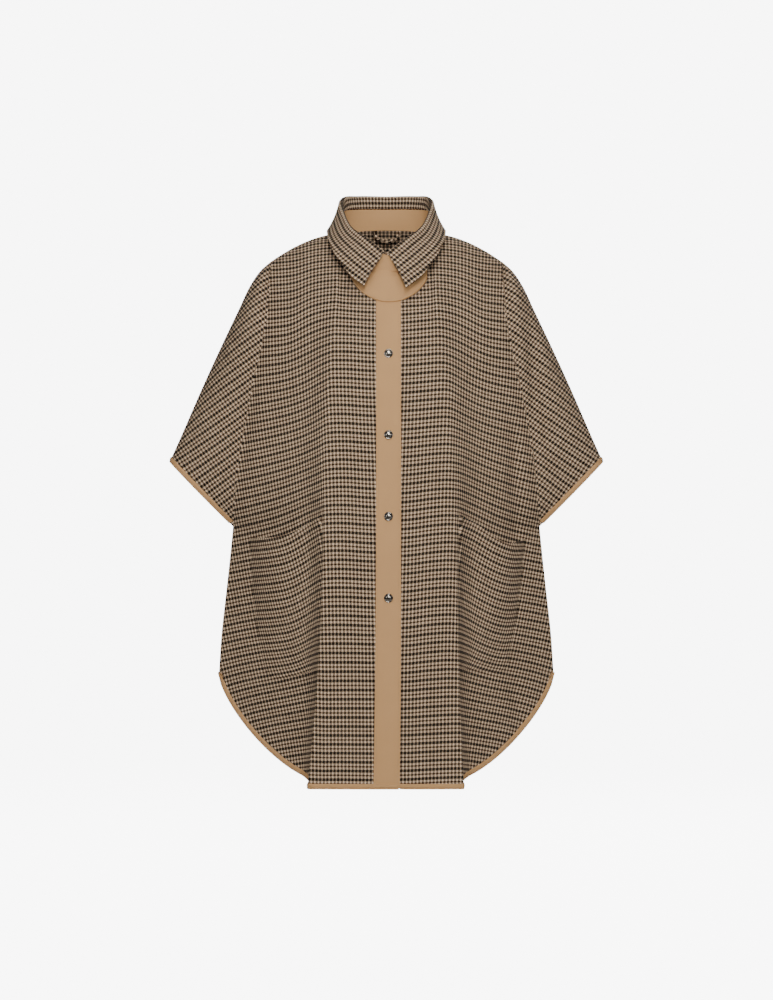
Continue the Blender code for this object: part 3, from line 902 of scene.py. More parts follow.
def new_group(
    name: str, inputs: dict[str, str], outputs: dict[str, str]
) -> tuple[Graph, Node, Node]:
    """Starts a shader node group.

    Args:
        name: The group's name.
        inputs: Its input sockets, name to kind.
        outputs: Its output sockets, name to kind.

    Returns:
        A graph on the group, its input node and its output node.
    """
    tree = bpy.data.node_groups.new(name, "ShaderNodeTree")
    for label, kind in inputs.items():
        tree.interface.new_socket(name=label, in_out="INPUT", socket_type=f"NodeSocket{kind}")
    for label, kind in outputs.items():
        tree.interface.new_socket(name=label, in_out="OUTPUT", socket_type=f"NodeSocket{kind}")
    graph = Graph(tree)
    return graph, graph.node("NodeGroupInput"), graph.node("NodeGroupOutput")


def check_group() -> NodeTree:
    """Makes the group that weaves a check: a 2/2 twill of dark, light, brown and light yarns both ways.

    The dark yarns are the fuller ones, so they float over more of the light ones. The nap blurs the twill.

    Returns:
        The group.
    """
    graph, given, result = new_group(
        "check_weave",
        {
            "Vector": "Vector",
            "Warp Pitch": "Float",
            "Weft Pitch": "Float",
            "Dark": "Color",
            "Light": "Color",
            "Warp Brown": "Color",
            "Weft Brown": "Color",
            "Fuzz": "Float",
            "Twill": "Float",
        },
        {"Color": "Color", "Height": "Float"},
    )
    parts = graph.node("ShaderNodeSeparateXYZ")
    graph.feed(parts.inputs[0], given.outputs["Vector"])
    # The repeat in yarns: where the middles of its dark and brown stripes lie, and half the dark one's width.
    repeat = 16.0
    dark_at = 2.0
    brown_at = 10.0
    dark_half = 2.1
    # Each way's name, half the width of its brown stripe and how full the stripe's yarns are.
    kinds = (("Warp", 2.1, 1.0), ("Weft", 1.6, 0.8))
    twill_yarns = 4.0
    warp_fullness = 0.65
    wander_scale = 700.0
    fibre_scale = 2600.0
    wander = graph.between(graph.noise(given.outputs["Vector"], wander_scale, 1.0), -0.25, 0.25)
    yarns = []
    fulls = []
    for place, (way, brown_half, brown_full) in zip(parts.outputs, kinds):
        count = graph.math("ADD", graph.math("DIVIDE", place, given.outputs[f"{way} Pitch"]), wander)
        whole = graph.math("FLOOR", count)
        part = graph.math("FRACT", count)
        in_repeat = graph.math("FLOORED_MODULO", whole, repeat)
        is_dark = graph.math("COMPARE", in_repeat, dark_at, dark_half)
        is_brown = graph.math("COMPARE", in_repeat, brown_at, brown_half)
        fulls.append(graph.math("MULTIPLY_ADD", is_brown, brown_full, is_dark))
        dyed = graph.mix(is_dark, given.outputs["Light"], given.outputs["Dark"])
        dyed = graph.mix(is_brown, dyed, given.outputs[f"{way} Brown"])
        chance = graph.node("ShaderNodeTexWhiteNoise", noise_dimensions="1D")
        graph.feed(chance.inputs["W"], whole)
        level = graph.between(chance.outputs["Value"], 0.89, 1.11)
        dyed = graph.mix(1.0, dyed, level, "MULTIPLY")
        # Each yarn's crown runs from 1 in its middle to 0 at its edges. It sets the relief and the painted shade
        # below.
        centred = graph.between(part, -1.0, 1.0)
        crown = graph.math("SUBTRACT", 1.0, graph.math("MULTIPLY", centred, centred))
        yarns.append((whole, dyed, crown))
    (warp_at, warp_dyed, warp_crown), (weft_at, weft_dyed, weft_crown) = yarns
    twill = graph.math("FLOORED_MODULO", graph.math("ADD", warp_at, weft_at), twill_yarns)
    lead = graph.math("SUBTRACT", graph.math("MULTIPLY", fulls[0], warp_fullness), fulls[1])
    floats = graph.math("LESS_THAN", twill, graph.math("ADD", lead, 0.5 * twill_yarns - 0.5))
    cover = graph.math("MULTIPLY_ADD", lead, 1.0 / twill_yarns, 0.5)
    off_cover = graph.math("SUBTRACT", floats, cover)
    warp_up = graph.math("MULTIPLY_ADD", off_cover, given.outputs["Twill"], cover)
    dyed = graph.mix(warp_up, weft_dyed, warp_dyed)
    crown = graph.node("ShaderNodeMix", data_type="FLOAT")
    graph.feed(crown.inputs[0], warp_up)
    graph.feed(crown.inputs[2], weft_crown)
    graph.feed(crown.inputs[3], warp_crown)
    fibres = graph.noise(given.outputs["Vector"], fibre_scale, 2.0)
    # Painted shade and highlight: the colour is darkened to 0.62 at each yarn's edges and lightened to 1.12 on
    # its crown.
    painted_shade_and_tone = graph.between(crown.outputs[0], 0.62, 1.12)
    fuzz = graph.math("MULTIPLY_ADD", graph.math("SUBTRACT", fibres, 0.5), given.outputs["Fuzz"], 1.0)
    dyed = graph.mix(1.0, dyed, graph.math("MULTIPLY", painted_shade_and_tone, fuzz), "MULTIPLY")
    graph.feed(result.inputs["Color"], dyed)
    graph.feed(result.inputs["Height"], graph.math("MULTIPLY_ADD", fibres, 0.4, crown.outputs[0]))
    return graph.tree


def cotton_group() -> NodeTree:
    """Makes the group that weaves plain cotton.

    Returns:
        The group.
    """
    graph, given, result = new_group(
        "plain_weave",
        {"Vector": "Vector", "Color": "Color", "Pitch": "Float", "Mottle": "Float"},
        {"Color": "Color", "Height": "Float"},
    )
    parts = graph.node("ShaderNodeSeparateXYZ")
    graph.feed(parts.inputs[0], given.outputs["Vector"])
    slub_scale = 900.0
    cloud_scale = 14.0
    waves = []
    for place in parts.outputs[:2]:
        turns = graph.math("MULTIPLY", graph.math("DIVIDE", place, given.outputs["Pitch"]), math.pi)
        waves.append(graph.math("SINE", turns))
    height = graph.math("MULTIPLY_ADD", graph.math("MULTIPLY", waves[0], waves[1]), 0.5, 0.5)
    slubs = graph.noise(given.outputs["Vector"], slub_scale, 3.0)
    cloud = graph.noise(given.outputs["Vector"], cloud_scale, 3.0)
    # Painted shade and highlight: the colour goes from 0.95 where the weave's relief is low to 1.05 where it is
    # high; the slubs' and the mottle's own tone are then multiplied in.
    painted_shade_and_tone = graph.between(height, 0.95, 1.05)
    painted_shade_and_tone = graph.math("MULTIPLY", painted_shade_and_tone, graph.between(slubs, 0.92, 1.08))
    drift = graph.math("MULTIPLY_ADD", graph.math("SUBTRACT", cloud, 0.5), given.outputs["Mottle"], 1.0)
    painted_shade_and_tone = graph.math("MULTIPLY", painted_shade_and_tone, drift)
    graph.feed(result.inputs["Color"], graph.mix(1.0, given.outputs["Color"], painted_shade_and_tone, "MULTIPLY"))
    graph.feed(result.inputs["Height"], height)
    return graph.tree


def colour(seen: Triple) -> tuple[float, float, float, float]:
    """Turns a colour as it is seen on a screen into a linear colour.

    Args:
        seen: Red, green and blue, from 0 to 255.

    Returns:
        The linear colour, opaque.
    """
    linear = [c / 255 / 12.92 if c <= 10 else ((c / 255 + 0.055) / 1.055) ** 2.4 for c in seen]
    return linear[0], linear[1], linear[2], 1.0


def new_material(name: str) -> tuple[Material, Graph, Node]:
    """Starts a material.

    Args:
        name: The material's name.

    Returns:
        The material, a graph on its nodes and its Principled node.
    """
    material = bpy.data.materials.new(name)
    material.use_nodes = True
    return material, Graph(material.node_tree), material.node_tree.nodes["Principled BSDF"]


def woven(
    name: str, group: NodeTree, settings: dict[str, object], roughness: float, bump: float, depth: float
) -> tuple[Material, Node]:
    """Makes a cloth's material from a weave.

    Args:
        name: The material's name.
        group: The weave's node group.
        settings: The values of the group's inputs, by socket.
        roughness: The cloth's roughness.
        bump: The strength of the relief.
        depth: The depth of the relief in metres.

    Returns:
        The material and its Principled node.
    """
    material, graph, shader = new_material(name)
    weave = graph.node("ShaderNodeGroup", node_tree=group)
    graph.feed(weave.inputs["Vector"], graph.node("ShaderNodeUVMap", uv_map="weave").outputs[0])
    for socket, value in settings.items():
        graph.feed(weave.inputs[socket], value)
    graph.feed(shader.inputs["Base Color"], weave.outputs["Color"])
    relief = graph.node("ShaderNodeBump")
    relief.inputs["Strength"].default_value = bump
    relief.inputs["Distance"].default_value = depth
    graph.feed(relief.inputs["Height"], weave.outputs["Height"])
    graph.feed(shader.inputs["Normal"], relief.outputs[0])
    shader.inputs["Roughness"].default_value = roughness
    shader.inputs["Specular IOR Level"].default_value = CLOTH_GLOSS
    return material, shader


def clouded(
    graph: Graph, shader: Node, scale: float, detail: float, low: Sequence[float], high: Sequence[float]
) -> Socket:
    """Gives a shader a colour that drifts between two over the object.

    Args:
        graph: The material's graph.
        shader: The Principled node.
        scale: The scale of the drift's noise.
        detail: The detail of the noise.
        low: The first colour, as it is seen on a screen.
        high: The second colour.

    Returns:
        The drift, from 0 to 1.
    """
    drift = graph.noise(graph.node("ShaderNodeTexCoord").outputs["Object"], scale, detail)
    graph.feed(shader.inputs["Base Color"], graph.mix(drift, colour(low), colour(high)))
    return drift


@dataclass(frozen=True)
class CheckWool:
    """A napped wool check. Pitches are the yarns', in metres, and colours are as seen on a screen."""

    warp_pitch: float = 0.00071
    weft_pitch: float = 0.000855
    dark: Triple = (14, 6, 1)
    light: Triple = (217, 189, 158)
    warp_brown: Triple = (28, 14, 5)
    weft_brown: Triple = (60, 38, 20)
    fuzz: float = 0.9
    twill: float = 0.35
    roughness: float = 0.92
    bump: float = 0.35
    depth: float = 0.0004
    sheen: float = 0.02
    sheen_roughness: float = 0.6

    def material(self) -> Material:
        """Makes the material.

        Returns:
            The material.
        """
        settings = {
            "Warp Pitch": self.warp_pitch,
            "Weft Pitch": self.weft_pitch,
            "Dark": colour(self.dark),
            "Light": colour(self.light),
            "Warp Brown": colour(self.warp_brown),
            "Weft Brown": colour(self.weft_brown),
            "Fuzz": self.fuzz,
            "Twill": self.twill,
        }
        material, shader = woven("check_wool", check_group(), settings, self.roughness, self.bump, self.depth)
        shader.inputs["Sheen Weight"].default_value = self.sheen
        shader.inputs["Sheen Roughness"].default_value = self.sheen_roughness
        return material


@dataclass(frozen=True)
class TanCotton:
    """A matt plain-woven cotton."""

    seen: Triple = (187, 145, 100)
    pitch: float = 0.0005
    mottle: float = 0.12
    roughness: float = 0.88
    bump: float = 0.25
    depth: float = 0.0002

    def material(self) -> Material:
        """Makes the material.

        Returns:
            The material.
        """
        settings = {"Color": colour(self.seen), "Pitch": self.pitch, "Mottle": self.mottle}
        return woven("tan_cotton", cotton_group(), settings, self.roughness, self.bump, self.depth)[0]


@dataclass(frozen=True)
class Thread:
    """A sewing thread whose colour drifts in a fine noise down to a painted shade, standing for the shade
    between its plies.
    """

    seen: Triple = (176, 140, 100)
    roughness: float = 0.7
    painted_ply_shade: float = 0.82
    ply_scale: float = 1800.0

    def material(self) -> Material:
        """Makes the material.

        Returns:
            The material.
        """
        material, graph, shader = new_material("tan_thread")
        # The colour drifts between the thread's own colour and a painted shade at 0.82 of it.
        clouded(graph, shader, self.ply_scale, 2.0, [self.painted_ply_shade * c for c in self.seen], self.seen)
        shader.inputs["Roughness"].default_value = self.roughness
        return material


@dataclass(frozen=True)
class SnapMetal:
    """A polished metal with fine turning marks."""

    seen: Triple = (124, 118, 110)
    roughness: float = 0.11
    roughness_drift: float = 0.04
    in_marks: float = 0.9
    mark_scale: float = 420.0

    def material(self) -> Material:
        """Makes the material.

        Returns:
            The material.
        """
        material, graph, shader = new_material("snap_metal")
        wear = clouded(graph, shader, self.mark_scale, 4.0, [self.in_marks * c for c in self.seen], self.seen)
        smoothest = self.roughness - self.roughness_drift
        roughest = self.roughness + self.roughness_drift
        graph.feed(shader.inputs["Roughness"], graph.between(wear, smoothest, roughest))
        shader.inputs["Metallic"].default_value = 1.0
        return material


@dataclass(frozen=True)
class Finish:
    """A material and the record's slot of it."""

    material: Material
    slot: Slot


@dataclass(frozen=True)
class Finishes:
    """The finishes of the poncho."""

    wool: Finish
    cotton: Finish
    thread: Finish
    metal: Finish


def settle(obj: Piece, finish: Finish, node: Optional[str] = None) -> Piece:
    """Gives a piece its finish and its place in the frame.

    Args:
        obj: The piece.
        finish: Its finish.
        node: The CAD node that it stands for, if any.

    Returns:
        The piece.
    """
    obj.data.materials.append(finish.material)
    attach(obj, "root")
    if node is not None:
        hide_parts(node)
    LOG.info("%s: %d faces", obj.name, len(obj.data.polygons))
    return obj


def spread(places: Sequence[float], weights: Sequence[float], count: int) -> Array:
    """Spreads values over a range, closer together where the weight is larger.

    Args:
        places: Places along the range, rising.
        weights: How close together the values are at each place.
        count: How many values.

    Returns:
        The values, from the first place to the last.
    """
    samples = 4000
    fine = np.linspace(places[0], places[-1], samples)
    dense = np.interp(fine, places, weights)
    run = np.concatenate(([0.0], np.cumsum(0.5 * (dense[1:] + dense[:-1]))))
    return np.interp(np.linspace(0.0, run[-1], count), run, fine)


@dataclass
class Half:
    """Half of a panel.

    Fields: the numbers of the body's and the sleeve's points and, for the points that are new, the directions
    of the weft and the warp as they are seen from the front and how firmly the warp keeps its direction.
    """

    body: Array
    sleeve: Array
    weft: Array
    warp: Array
    hold: Array


@dataclass
class Panel:
    """A front or the back with its sleeves, as a fine sheet with its weave laid.

    Fields: the cut, the counts of rows above and below the underarm, of columns and of sleeve columns, where
    columns stand closer and how close, the degrees that the weft drops outward and that the warp leans.
    """

    cut: Cut
    rows_above: int = 84
    rows_below: int = 92
    columns: int = 96
    sleeve_columns: int = 44
    back_columns: int = 66
    row_power: float = 1.35
    crowd_places: tuple[float, ...] = (0.36, 0.39, 0.50, 0.56, 1.0)
    crowding: tuple[float, ...] = (1.0, 1.0, 4.0, 4.0, 1.2, 1.1)
    sleeve_places: tuple[float, ...] = (0.0, 0.8, 1.0)
    sleeve_crowding: tuple[float, ...] = (1.0, 1.0, 3.0)
    # Where a lapped middle starts to come out from under the other front, and over what width.
    lap_start: float = 0.0215
    lap_blend: float = 0.0205
    flow_shares: tuple[float, ...] = (0.0, 0.19, 0.34, 0.42, 0.48, 0.6, 0.75, 0.88, 1.0)
    # Heights, upward, and the drop at each share of the half width, where the fold is at 0.437.
    right_flow: Table = (
        (-0.866, 0, -2, 0, -4, 6, 9, 15, 20, 24),
        (-0.791, 0, -2, -2, -7, 10, 10, 17, 22, 24),
        (-0.716, 0, 0, 0, -6, 14, 13, 13, 18, 21),
        (-0.641, 0, -2, 0, 2, 24, 25, 13, 13, 17),
        (-0.566, 0, -4, 2, 6, 26, 30, 15, 12, 14),
        (-0.491, 0, -4, 2, 8, 35, 34, 19, 14, 12),
        (-0.416, 0, -6, 2, 8, 20, 21, 17, 14, 13),
        (-0.341, 0, -6, 2, 8, 30, 22, 13, 12, 10),
        (-0.266, 0, -4, 0, 6, 31, 26, 14, 12, 10),
        (-0.191, 0, -5, 2, 4, 20, 30, 28, 8, 5),
        (-0.116, 0, -1, -1, 2, 4, 12, 30, 4, 2),
        (-0.038, 0, 0, 0, 0, 1, 4, 14, 6, 4),
    )
    left_flow: Table = (
        (-0.866, 0, -4, -2, -1, 6, 9, 15, 20, 24),
        (-0.791, 0, -4, -4, -2, 10, 10, 18, 22, 24),
        (-0.716, 0, -6, -4, 2, 17, 14, 14, 19, 22),
        (-0.641, 0, -8, -3, 6, 26, 25, 12, 13, 18),
        (-0.566, 0, -8, -3, 6, 22, 28, 15, 12, 15),
        (-0.491, 0, -8, -4, 6, 35, 34, 19, 14, 12),
        (-0.416, 0, -10, -4, 4, 18, 21, 19, 18, 15),
        (-0.341, 0, -8, -6, 4, 14, 23, 17, 16, 14),
        (-0.266, 0, -6, -6, 4, 33, 30, 15, 14, 12),
        (-0.191, 0, -5, -4, 4, 22, 33, 24, 10, 8),
        (-0.116, 0, -1, -2, 2, 7, 20, 30, 8, 4),
        (-0.038, 0, 0, 0, 0, 1, 4, 14, 6, 4),
    )
    back_flow: Table = (
        (-0.877, 0, 1, 3, 5, 7, 9, 14, 18, 22),
        (-0.416, 0, 1, 3, 5, 7, 9, 12, 14, 16),
        (-0.038, 0, 0, 1, 1, 2, 3, 5, 6, 6),
    )
    sleeve_flow: Table = ((0.0, 44.0), (0.5, 41.0), (1.0, 36.0))
    lean_shares: tuple[float, ...] = (0.0, 0.38, 0.46, 0.6, 0.75, 0.88, 1.0)
    # Heights, upward, and how far the warp leans at each share of the half width.
    front_lean: Table = (
        (-0.866, 0, 0, 2, 12, 14, 14, 14),
        (-0.791, 0, 0, 4, 15, 14, 14, 14),
        (-0.716, 0, 0, 8, 15, 16, 15, 14),
        (-0.641, 0, 0, 14, 18, 14, 12, 13),
        (-0.491, 0, 0, 16, 18, 14, 11, 11),
        (-0.416, 0, 1, 10, 11, 11, 12, 12),
        (-0.341, 0, 2, 10, 9, 11, 12, 13),
        (-0.266, 0, 2, 8, 9, 10, 9, 9),
        (-0.191, 0, 0, 2, 4, 6, 5, 5),
        (-0.116, 0, -2, -3, -1, 3, 5, 6),
    )
    back_lean: Table = ((-0.866, 0, 2, 3, 5, 8, 10, 12), (-0.116, 0, 0, 1, 2, 3, 4, 5))
    sleeve_lean: float = 35.0
    flow_fold: float = 0.437
    # The flank of the fold: where its hold on the warp slackens, over what share, and the same for its end.
    flank: tuple[float, float, float, float] = (0.425, 0.012, 0.47, 0.03)
    flank_slack: float = 0.85
    flank_top: float = 0.2
    # The middle of a front: how firmly the warp is held plumb, up to where and over what share it lets go.
    plumb_hold: float = 4.0
    plumb_end: float = 0.41
    plumb_blend: float = 0.02

    def shares(self, side: Side, start: float) -> Array:
        """Places the columns.

        Args:
            side: The front or the back.
            start: The first column's share of the half width.

        Returns:
            The columns' shares.
        """
        if side.facing < 0:
            return spread((start, *self.crowd_places), self.crowding, self.columns)
        return np.linspace(start, 1.0, self.back_columns)

    def downs(self) -> Array:
        """Places the rows.

        Returns:
            The rows' shares of the way down; the row at index rows_above is at the underarm.
        """
        above = self.cut.underarm * np.linspace(0.0, 1.0, self.rows_above + 1) ** self.row_power
        below = np.linspace(self.cut.underarm, 1.0, self.rows_below + 1)
        return np.concatenate((above, below[1:]))

    def firmness(self, from_fold: Array, downs: Array) -> Array:
        """Works out how firmly a front's warp keeps its direction.

        Args:
            from_fold: The points' shares of the half width, shifted so that the fold is at flow_fold.
            downs: The rows' shares of the way down.

        Returns:
            The firmness at each point.
        """
        start, start_blend, end, end_blend = self.flank
        on_flank = ease((from_fold - start) / start_blend) * (1.0 - ease((from_fold - end) / end_blend))
        on_flank = on_flank * ease((downs - self.flank_top) / self.flank_top)[:, None]
        let_go = (self.plumb_hold - 1.0) * ease((from_fold - self.plumb_end) / self.plumb_blend)
        return (self.plumb_hold - let_go) * (1.0 - self.flank_slack * on_flank)

    def half(
        self, sheet: Sheet, side: Side, hand: float, start: float, lap: float, creases: Sequence[Crease]
    ) -> Half:
        """Adds half of a panel to a sheet, from the centre to the side seam and the tip of the sleeve.

        Args:
            sheet: The sheet.
            side: The front or the back.
            hand: 1 for the wearer's left, -1 for the right.
            start: The first column's share of the half width.
            lap: How far the middle lies in under the other front.
            creases: The panel's soft creases.

        Returns:
            The half.
        """
        downs = self.downs()
        shares = self.shares(side, start)
        to_underarm = downs[: self.rows_above + 1] / self.cut.underarm
        body = self.cut.body(side, shares[None], downs[:, None])
        body[..., 1] -= lap * (1.0 - ease((body[..., 0] - self.lap_start) / self.lap_blend))
        across = spread(self.sleeve_places, self.sleeve_crowding, self.sleeve_columns)
        sleeve = self.cut.sleeve(side, across[None], np.minimum(to_underarm[:, None], 1.0))
        for crease in creases:
            if hand in crease.hands:
                for points in (body, sleeve):
                    points[..., 1] += crease_lift(crease, points)
        shared = None
        if len(sheet.points) and start == 0.0:
            shared = np.full(body.shape[:2], -1)
            shared[:, 0] = sheet.grids[0][:, 0]
        before = len(sheet.points)
        inner = sheet.add(placed(side, hand, body), shared, hand < 0)
        welds = np.full(sleeve.shape[:2], -1)
        welds[:, 0] = inner[: self.rows_above + 1, -1]
        welds[0, :] = inner[0, -1]
        outer = sheet.add(placed(side, hand, sleeve), welds, hand < 0, 1 if hand > 0 else 2)
        sheet.seams |= set(inner[self.rows_above :, -1].tolist()) | set(outer[:, -1].tolist())
        sheet.seams |= set(inner[0, shares >= self.cut.neck_share].tolist())
        flows = self.left_flow if hand > 0 else self.right_flow
        leans = self.front_lean
        if side is BACK:
            flows = self.back_flow
            leans = self.back_lean
        fold = through(side.fold_down, downs)[:, 3:]
        from_fold = np.maximum(shares, 0.0)[None] + (self.flow_fold - fold) * ease(shares / fold)
        flow = np.zeros(len(sheet.points))
        flow[outer] = through(self.sleeve_flow, to_underarm)
        flow[inner] = charted(flows, self.flow_shares, body[..., 2], from_fold)
        lean = np.full(len(sheet.points), self.sleeve_lean)
        lean[inner] = charted(leans, self.lean_shares, body[..., 2], from_fold)
        hold = np.ones(len(sheet.points))
        if side is not BACK:
            hold[inner] = self.firmness(from_fold, downs)
        weft = seen_way(flow[before:], hand, 0.0)
        warp = seen_way(lean[before:], hand, 90.0)
        return Half(inner, outer, weft, warp, hold[before:])


def seen_way(drop: Array, hand: float, turn: float) -> Array:
    """Turns a drop outward into a direction as it is seen from the front.

    Args:
        drop: The drop, in degrees.
        hand: 1 for the wearer's left, -1 for the right.
        turn: 0 for the direction that drops, 90 for the one square to it.

    Returns:
        The directions, without their depth.
    """
    angle = np.radians(turn + hand * drop)
    return np.stack((np.cos(angle), np.zeros_like(angle), -np.sin(angle)), axis=1)


def crease_lift(crease: Crease, points: Array) -> Array:
    """How far a crease moves points out.

    Args:
        crease: The crease.
        points: Distance out, depth and height in the last axis.

    Returns:
        The lift of each point.
    """
    path = np.array(crease.path, float)
    flat = points[..., [0, 2]]
    lengths = along_line(path)
    nearest = np.full(flat.shape[:2], np.inf)
    along = np.zeros(flat.shape[:2])
    for start, end, run in zip(path, path[1:], lengths):
        way = end - start
        share = np.clip(((flat - start) @ way) / (way @ way), 0.0, 1.0)
        off = np.linalg.norm(flat - start - share[..., None] * way, axis=-1)
        closer = off < nearest
        nearest = np.where(closer, off, nearest)
        along = np.where(closer, run + share * np.linalg.norm(way), along)
    fade = np.sin(math.pi * np.clip(along / lengths[-1], 0.0, 1.0)) ** crease.fade
    clear = ease(points[..., 1] / crease.clear)
    return crease.lift * fade * clear * np.exp(-((nearest / crease.width) ** 2))


def in_surface(sheet: Sheet, direction: Array) -> Array:
    """Puts directions that are seen from the front into a sheet's surface.

    Args:
        sheet: The sheet, closed.
        direction: The directions, without their depth.

    Returns:
        The directions in the surface.
    """
    least = 0.3
    normals = sheet.facings
    facing = sheet.facing * np.maximum(np.abs(normals[:, 1]), least)
    depth = -(direction[:, 0] * normals[:, 0] + direction[:, 2] * normals[:, 2]) / facing
    return np.stack((direction[:, 0], depth, direction[:, 2]), axis=1)


def rail(sheet: Sheet, numbers: Array, lift: Array | float) -> Array:
    """Follows points of a sheet at a distance out from it.

    Args:
        sheet: The sheet, closed.
        numbers: The points' numbers.
        lift: The distance out, at each point or at all.

    Returns:
        The points.
    """
    return sheet.points[numbers] + sheet.normals[numbers] * lift


def along_line(points: Array) -> Array:
    """Measures a line of points.

    Args:
        points: The points.

    Returns:
        The length of the line up to each point.
    """
    return np.concatenate(([0.0], np.cumsum(np.linalg.norm(np.diff(points, axis=0), axis=1))))


@dataclass
class Stitches:
    """A run of sewing stitches, each a short thread that dips into the cloth at its ends."""

    pitch: float = 0.0042
    length: float = 0.0031
    radius: float = 0.00030
    rise: float = 0.00012
    first: float = 0.3
    sides: int = 6
    # Places along a stitch, and its rise and its thickness there, as shares of the whole.
    profile: Table = (
        (0.0, -1.6, 0.55),
        (0.18, 0.5, 0.95),
        (0.5, 1.0, 1.0),
        (0.82, 0.5, 0.95),
        (1.0, -1.6, 0.55),
    )

    def add(self, bm: BMesh, points: Array, normals: Array) -> None:
        """Adds a run along a line.

        Args:
            bm: The bmesh that takes the stitches.
            points: The line on the cloth.
            normals: The cloth's outward direction at the points.
        """
        run = along_line(points)
        shares, rises, sizes = np.array(self.profile).T
        turns = [2 * math.pi * k / self.sides for k in range(self.sides)]
        for start in np.arange(self.first * self.pitch, run[-1] - self.length, self.pitch):
            places = start + self.length * shares
            middle = np.stack([np.interp(places, run, points[:, k]) for k in range(3)], axis=1)
            out = unit(np.stack([np.interp(places, run, normals[:, k]) for k in range(3)], axis=1))
            middle = middle + out * (rises * self.rise)[:, None]
            way = unit(middle[-1] - middle[0])
            rings = []
            for centre, up, size in zip(middle, out, sizes):
                side = np.cross(way, up)
                ring = [centre + self.radius * size * (side * math.cos(t) + up * math.sin(t)) for t in turns]
                rings.append([bm.verts.new(point) for point in ring])
            loft(bm, rings)


def sewn(name: str, runs: Sequence[tuple[Array, Array]], finishes: Finishes) -> Piece:
    """Makes the stitching of a piece.

    Args:
        name: The CAD node's name of the piece.
        runs: The runs, each a line on the cloth and the cloth's outward directions along it.
        finishes: The finishes.

    Returns:
        The stitches.
    """
    bm = bmesh.new()
    for points, normals in runs:
        Stitches().add(bm, points, normals)
    bmesh.ops.recalc_face_normals(bm, faces=bm.faces)
    return settle(made_object(f"{name}_stitches", bm), finishes.thread)


def loft(bm: BMesh, rings: list[list[bmesh.types.BMVert]]) -> None:
    """Joins closed rings of vertices into a solid with filled ends.

    Args:
        bm: The bmesh.
        rings: The rings, each with as many vertices as the others.
    """
    count = len(rings[0])
    for ring, following in zip(rings, rings[1:]):
        for k in range(count):
            n = (k + 1) % count
            bm.faces.new((ring[k], ring[n], following[n], following[k]))
    bm.faces.new(rings[0])
    bm.faces.new(rings[-1])


def swept(name: str, rings: Array, weave: Optional[Array] = None) -> Piece:
    """Makes a closed solid through rings of points.

    Args:
        name: The object's name.
        rings: The rings by their points by 3.
        weave: The weave coordinates of the rings' points, if the piece is woven.

    Returns:
        The object.
    """
    bm = bmesh.new()
    made = [[bm.verts.new(point) for point in ring] for ring in rings]
    loft(bm, made)
    if weave is not None:
        layer = bm.loops.layers.uv.new("weave")
        at = {vert: weave[i][k] for i, ring in enumerate(made) for k, vert in enumerate(ring)}
        for face in bm.faces:
            for loop in face.loops:
                loop[layer].uv = at[loop.vert]
    bmesh.ops.recalc_face_normals(bm, faces=bm.faces)
    return made_object(name, bm)


@dataclass
class Binding:
    """A bias strip folded over a raw edge.

    Its outline is points round its section, as distance in from the edge and distance out from the panel.
    """

    rows_in: int = 4
    stitch_in: float = 0.0011
    stitch_before: float = 0.0007
    stitch_behind: float = -0.0027
    outline: Table = (
        (0.0073, 0.0004), (0.0071, 0.0011), (0.0058, 0.0015), (0.0036, 0.0016), (0.0021, 0.0014),
        (0.0011, 0.0007), (0.0002, 0.0011), (-0.0007, 0.0008), (-0.0014, -0.0001),
        (-0.0016, -0.0010), (-0.0014, -0.0019), (-0.0007, -0.0028), (0.0002, -0.0031),
        (0.0011, -0.0027), (0.0036, -0.0035), (0.0071, -0.0031), (0.0073, -0.0024),
        (0.0009, -0.0024), (-0.0007, -0.0010), (0.0009, 0.0003),
    )

    def build(
        self, name: str, sheet: Sheet, numbers: Array, finishes: Finishes, rise: Array | float = 0.0
    ) -> None:
        """Makes the strip and its stitching.

        Args:
            name: The CAD node's name, which the strip gets too.
            sheet: The panel's sheet, closed.
            numbers: The numbers of the panel's points by rows, the edge last.
            finishes: The finishes.
            rise: How far its outer half stands off for what it runs over, at each point or at all.
        """
        points = sheet.points[numbers[-1]]
        normals = sheet.normals[numbers[-1]]
        inward = sheet.points[numbers[-self.rows_in]] - points
        for way in (unit(np.gradient(points, axis=0)), normals):
            inward = inward - way * np.sum(inward * way, axis=1, keepdims=True)
        inward = unit(inward)
        shape = np.array(self.outline)
        raised = np.broadcast_to(rise, len(points))[:, None]
        outer = shape[None, :, 1:] > 0.0
        rings = (
            points[:, None]
            + inward[:, None] * shape[None, :, :1]
            + normals[:, None] * (shape[None, :, 1:] + outer * raised[:, None])
        )
        run = along_line(points)
        round_it = along_line(shape)
        weave = np.stack((run[:, None] + round_it, run[:, None] - round_it), axis=-1)
        strip = settle(swept(f"{name}_strip", rings, weave), finishes.cotton, name)
        line = points + inward * self.stitch_in
        before = (line + normals * (self.stitch_before + raised), normals)
        behind = (line + normals * self.stitch_behind, -normals)
        thread = sewn(name, (before, behind), finishes)


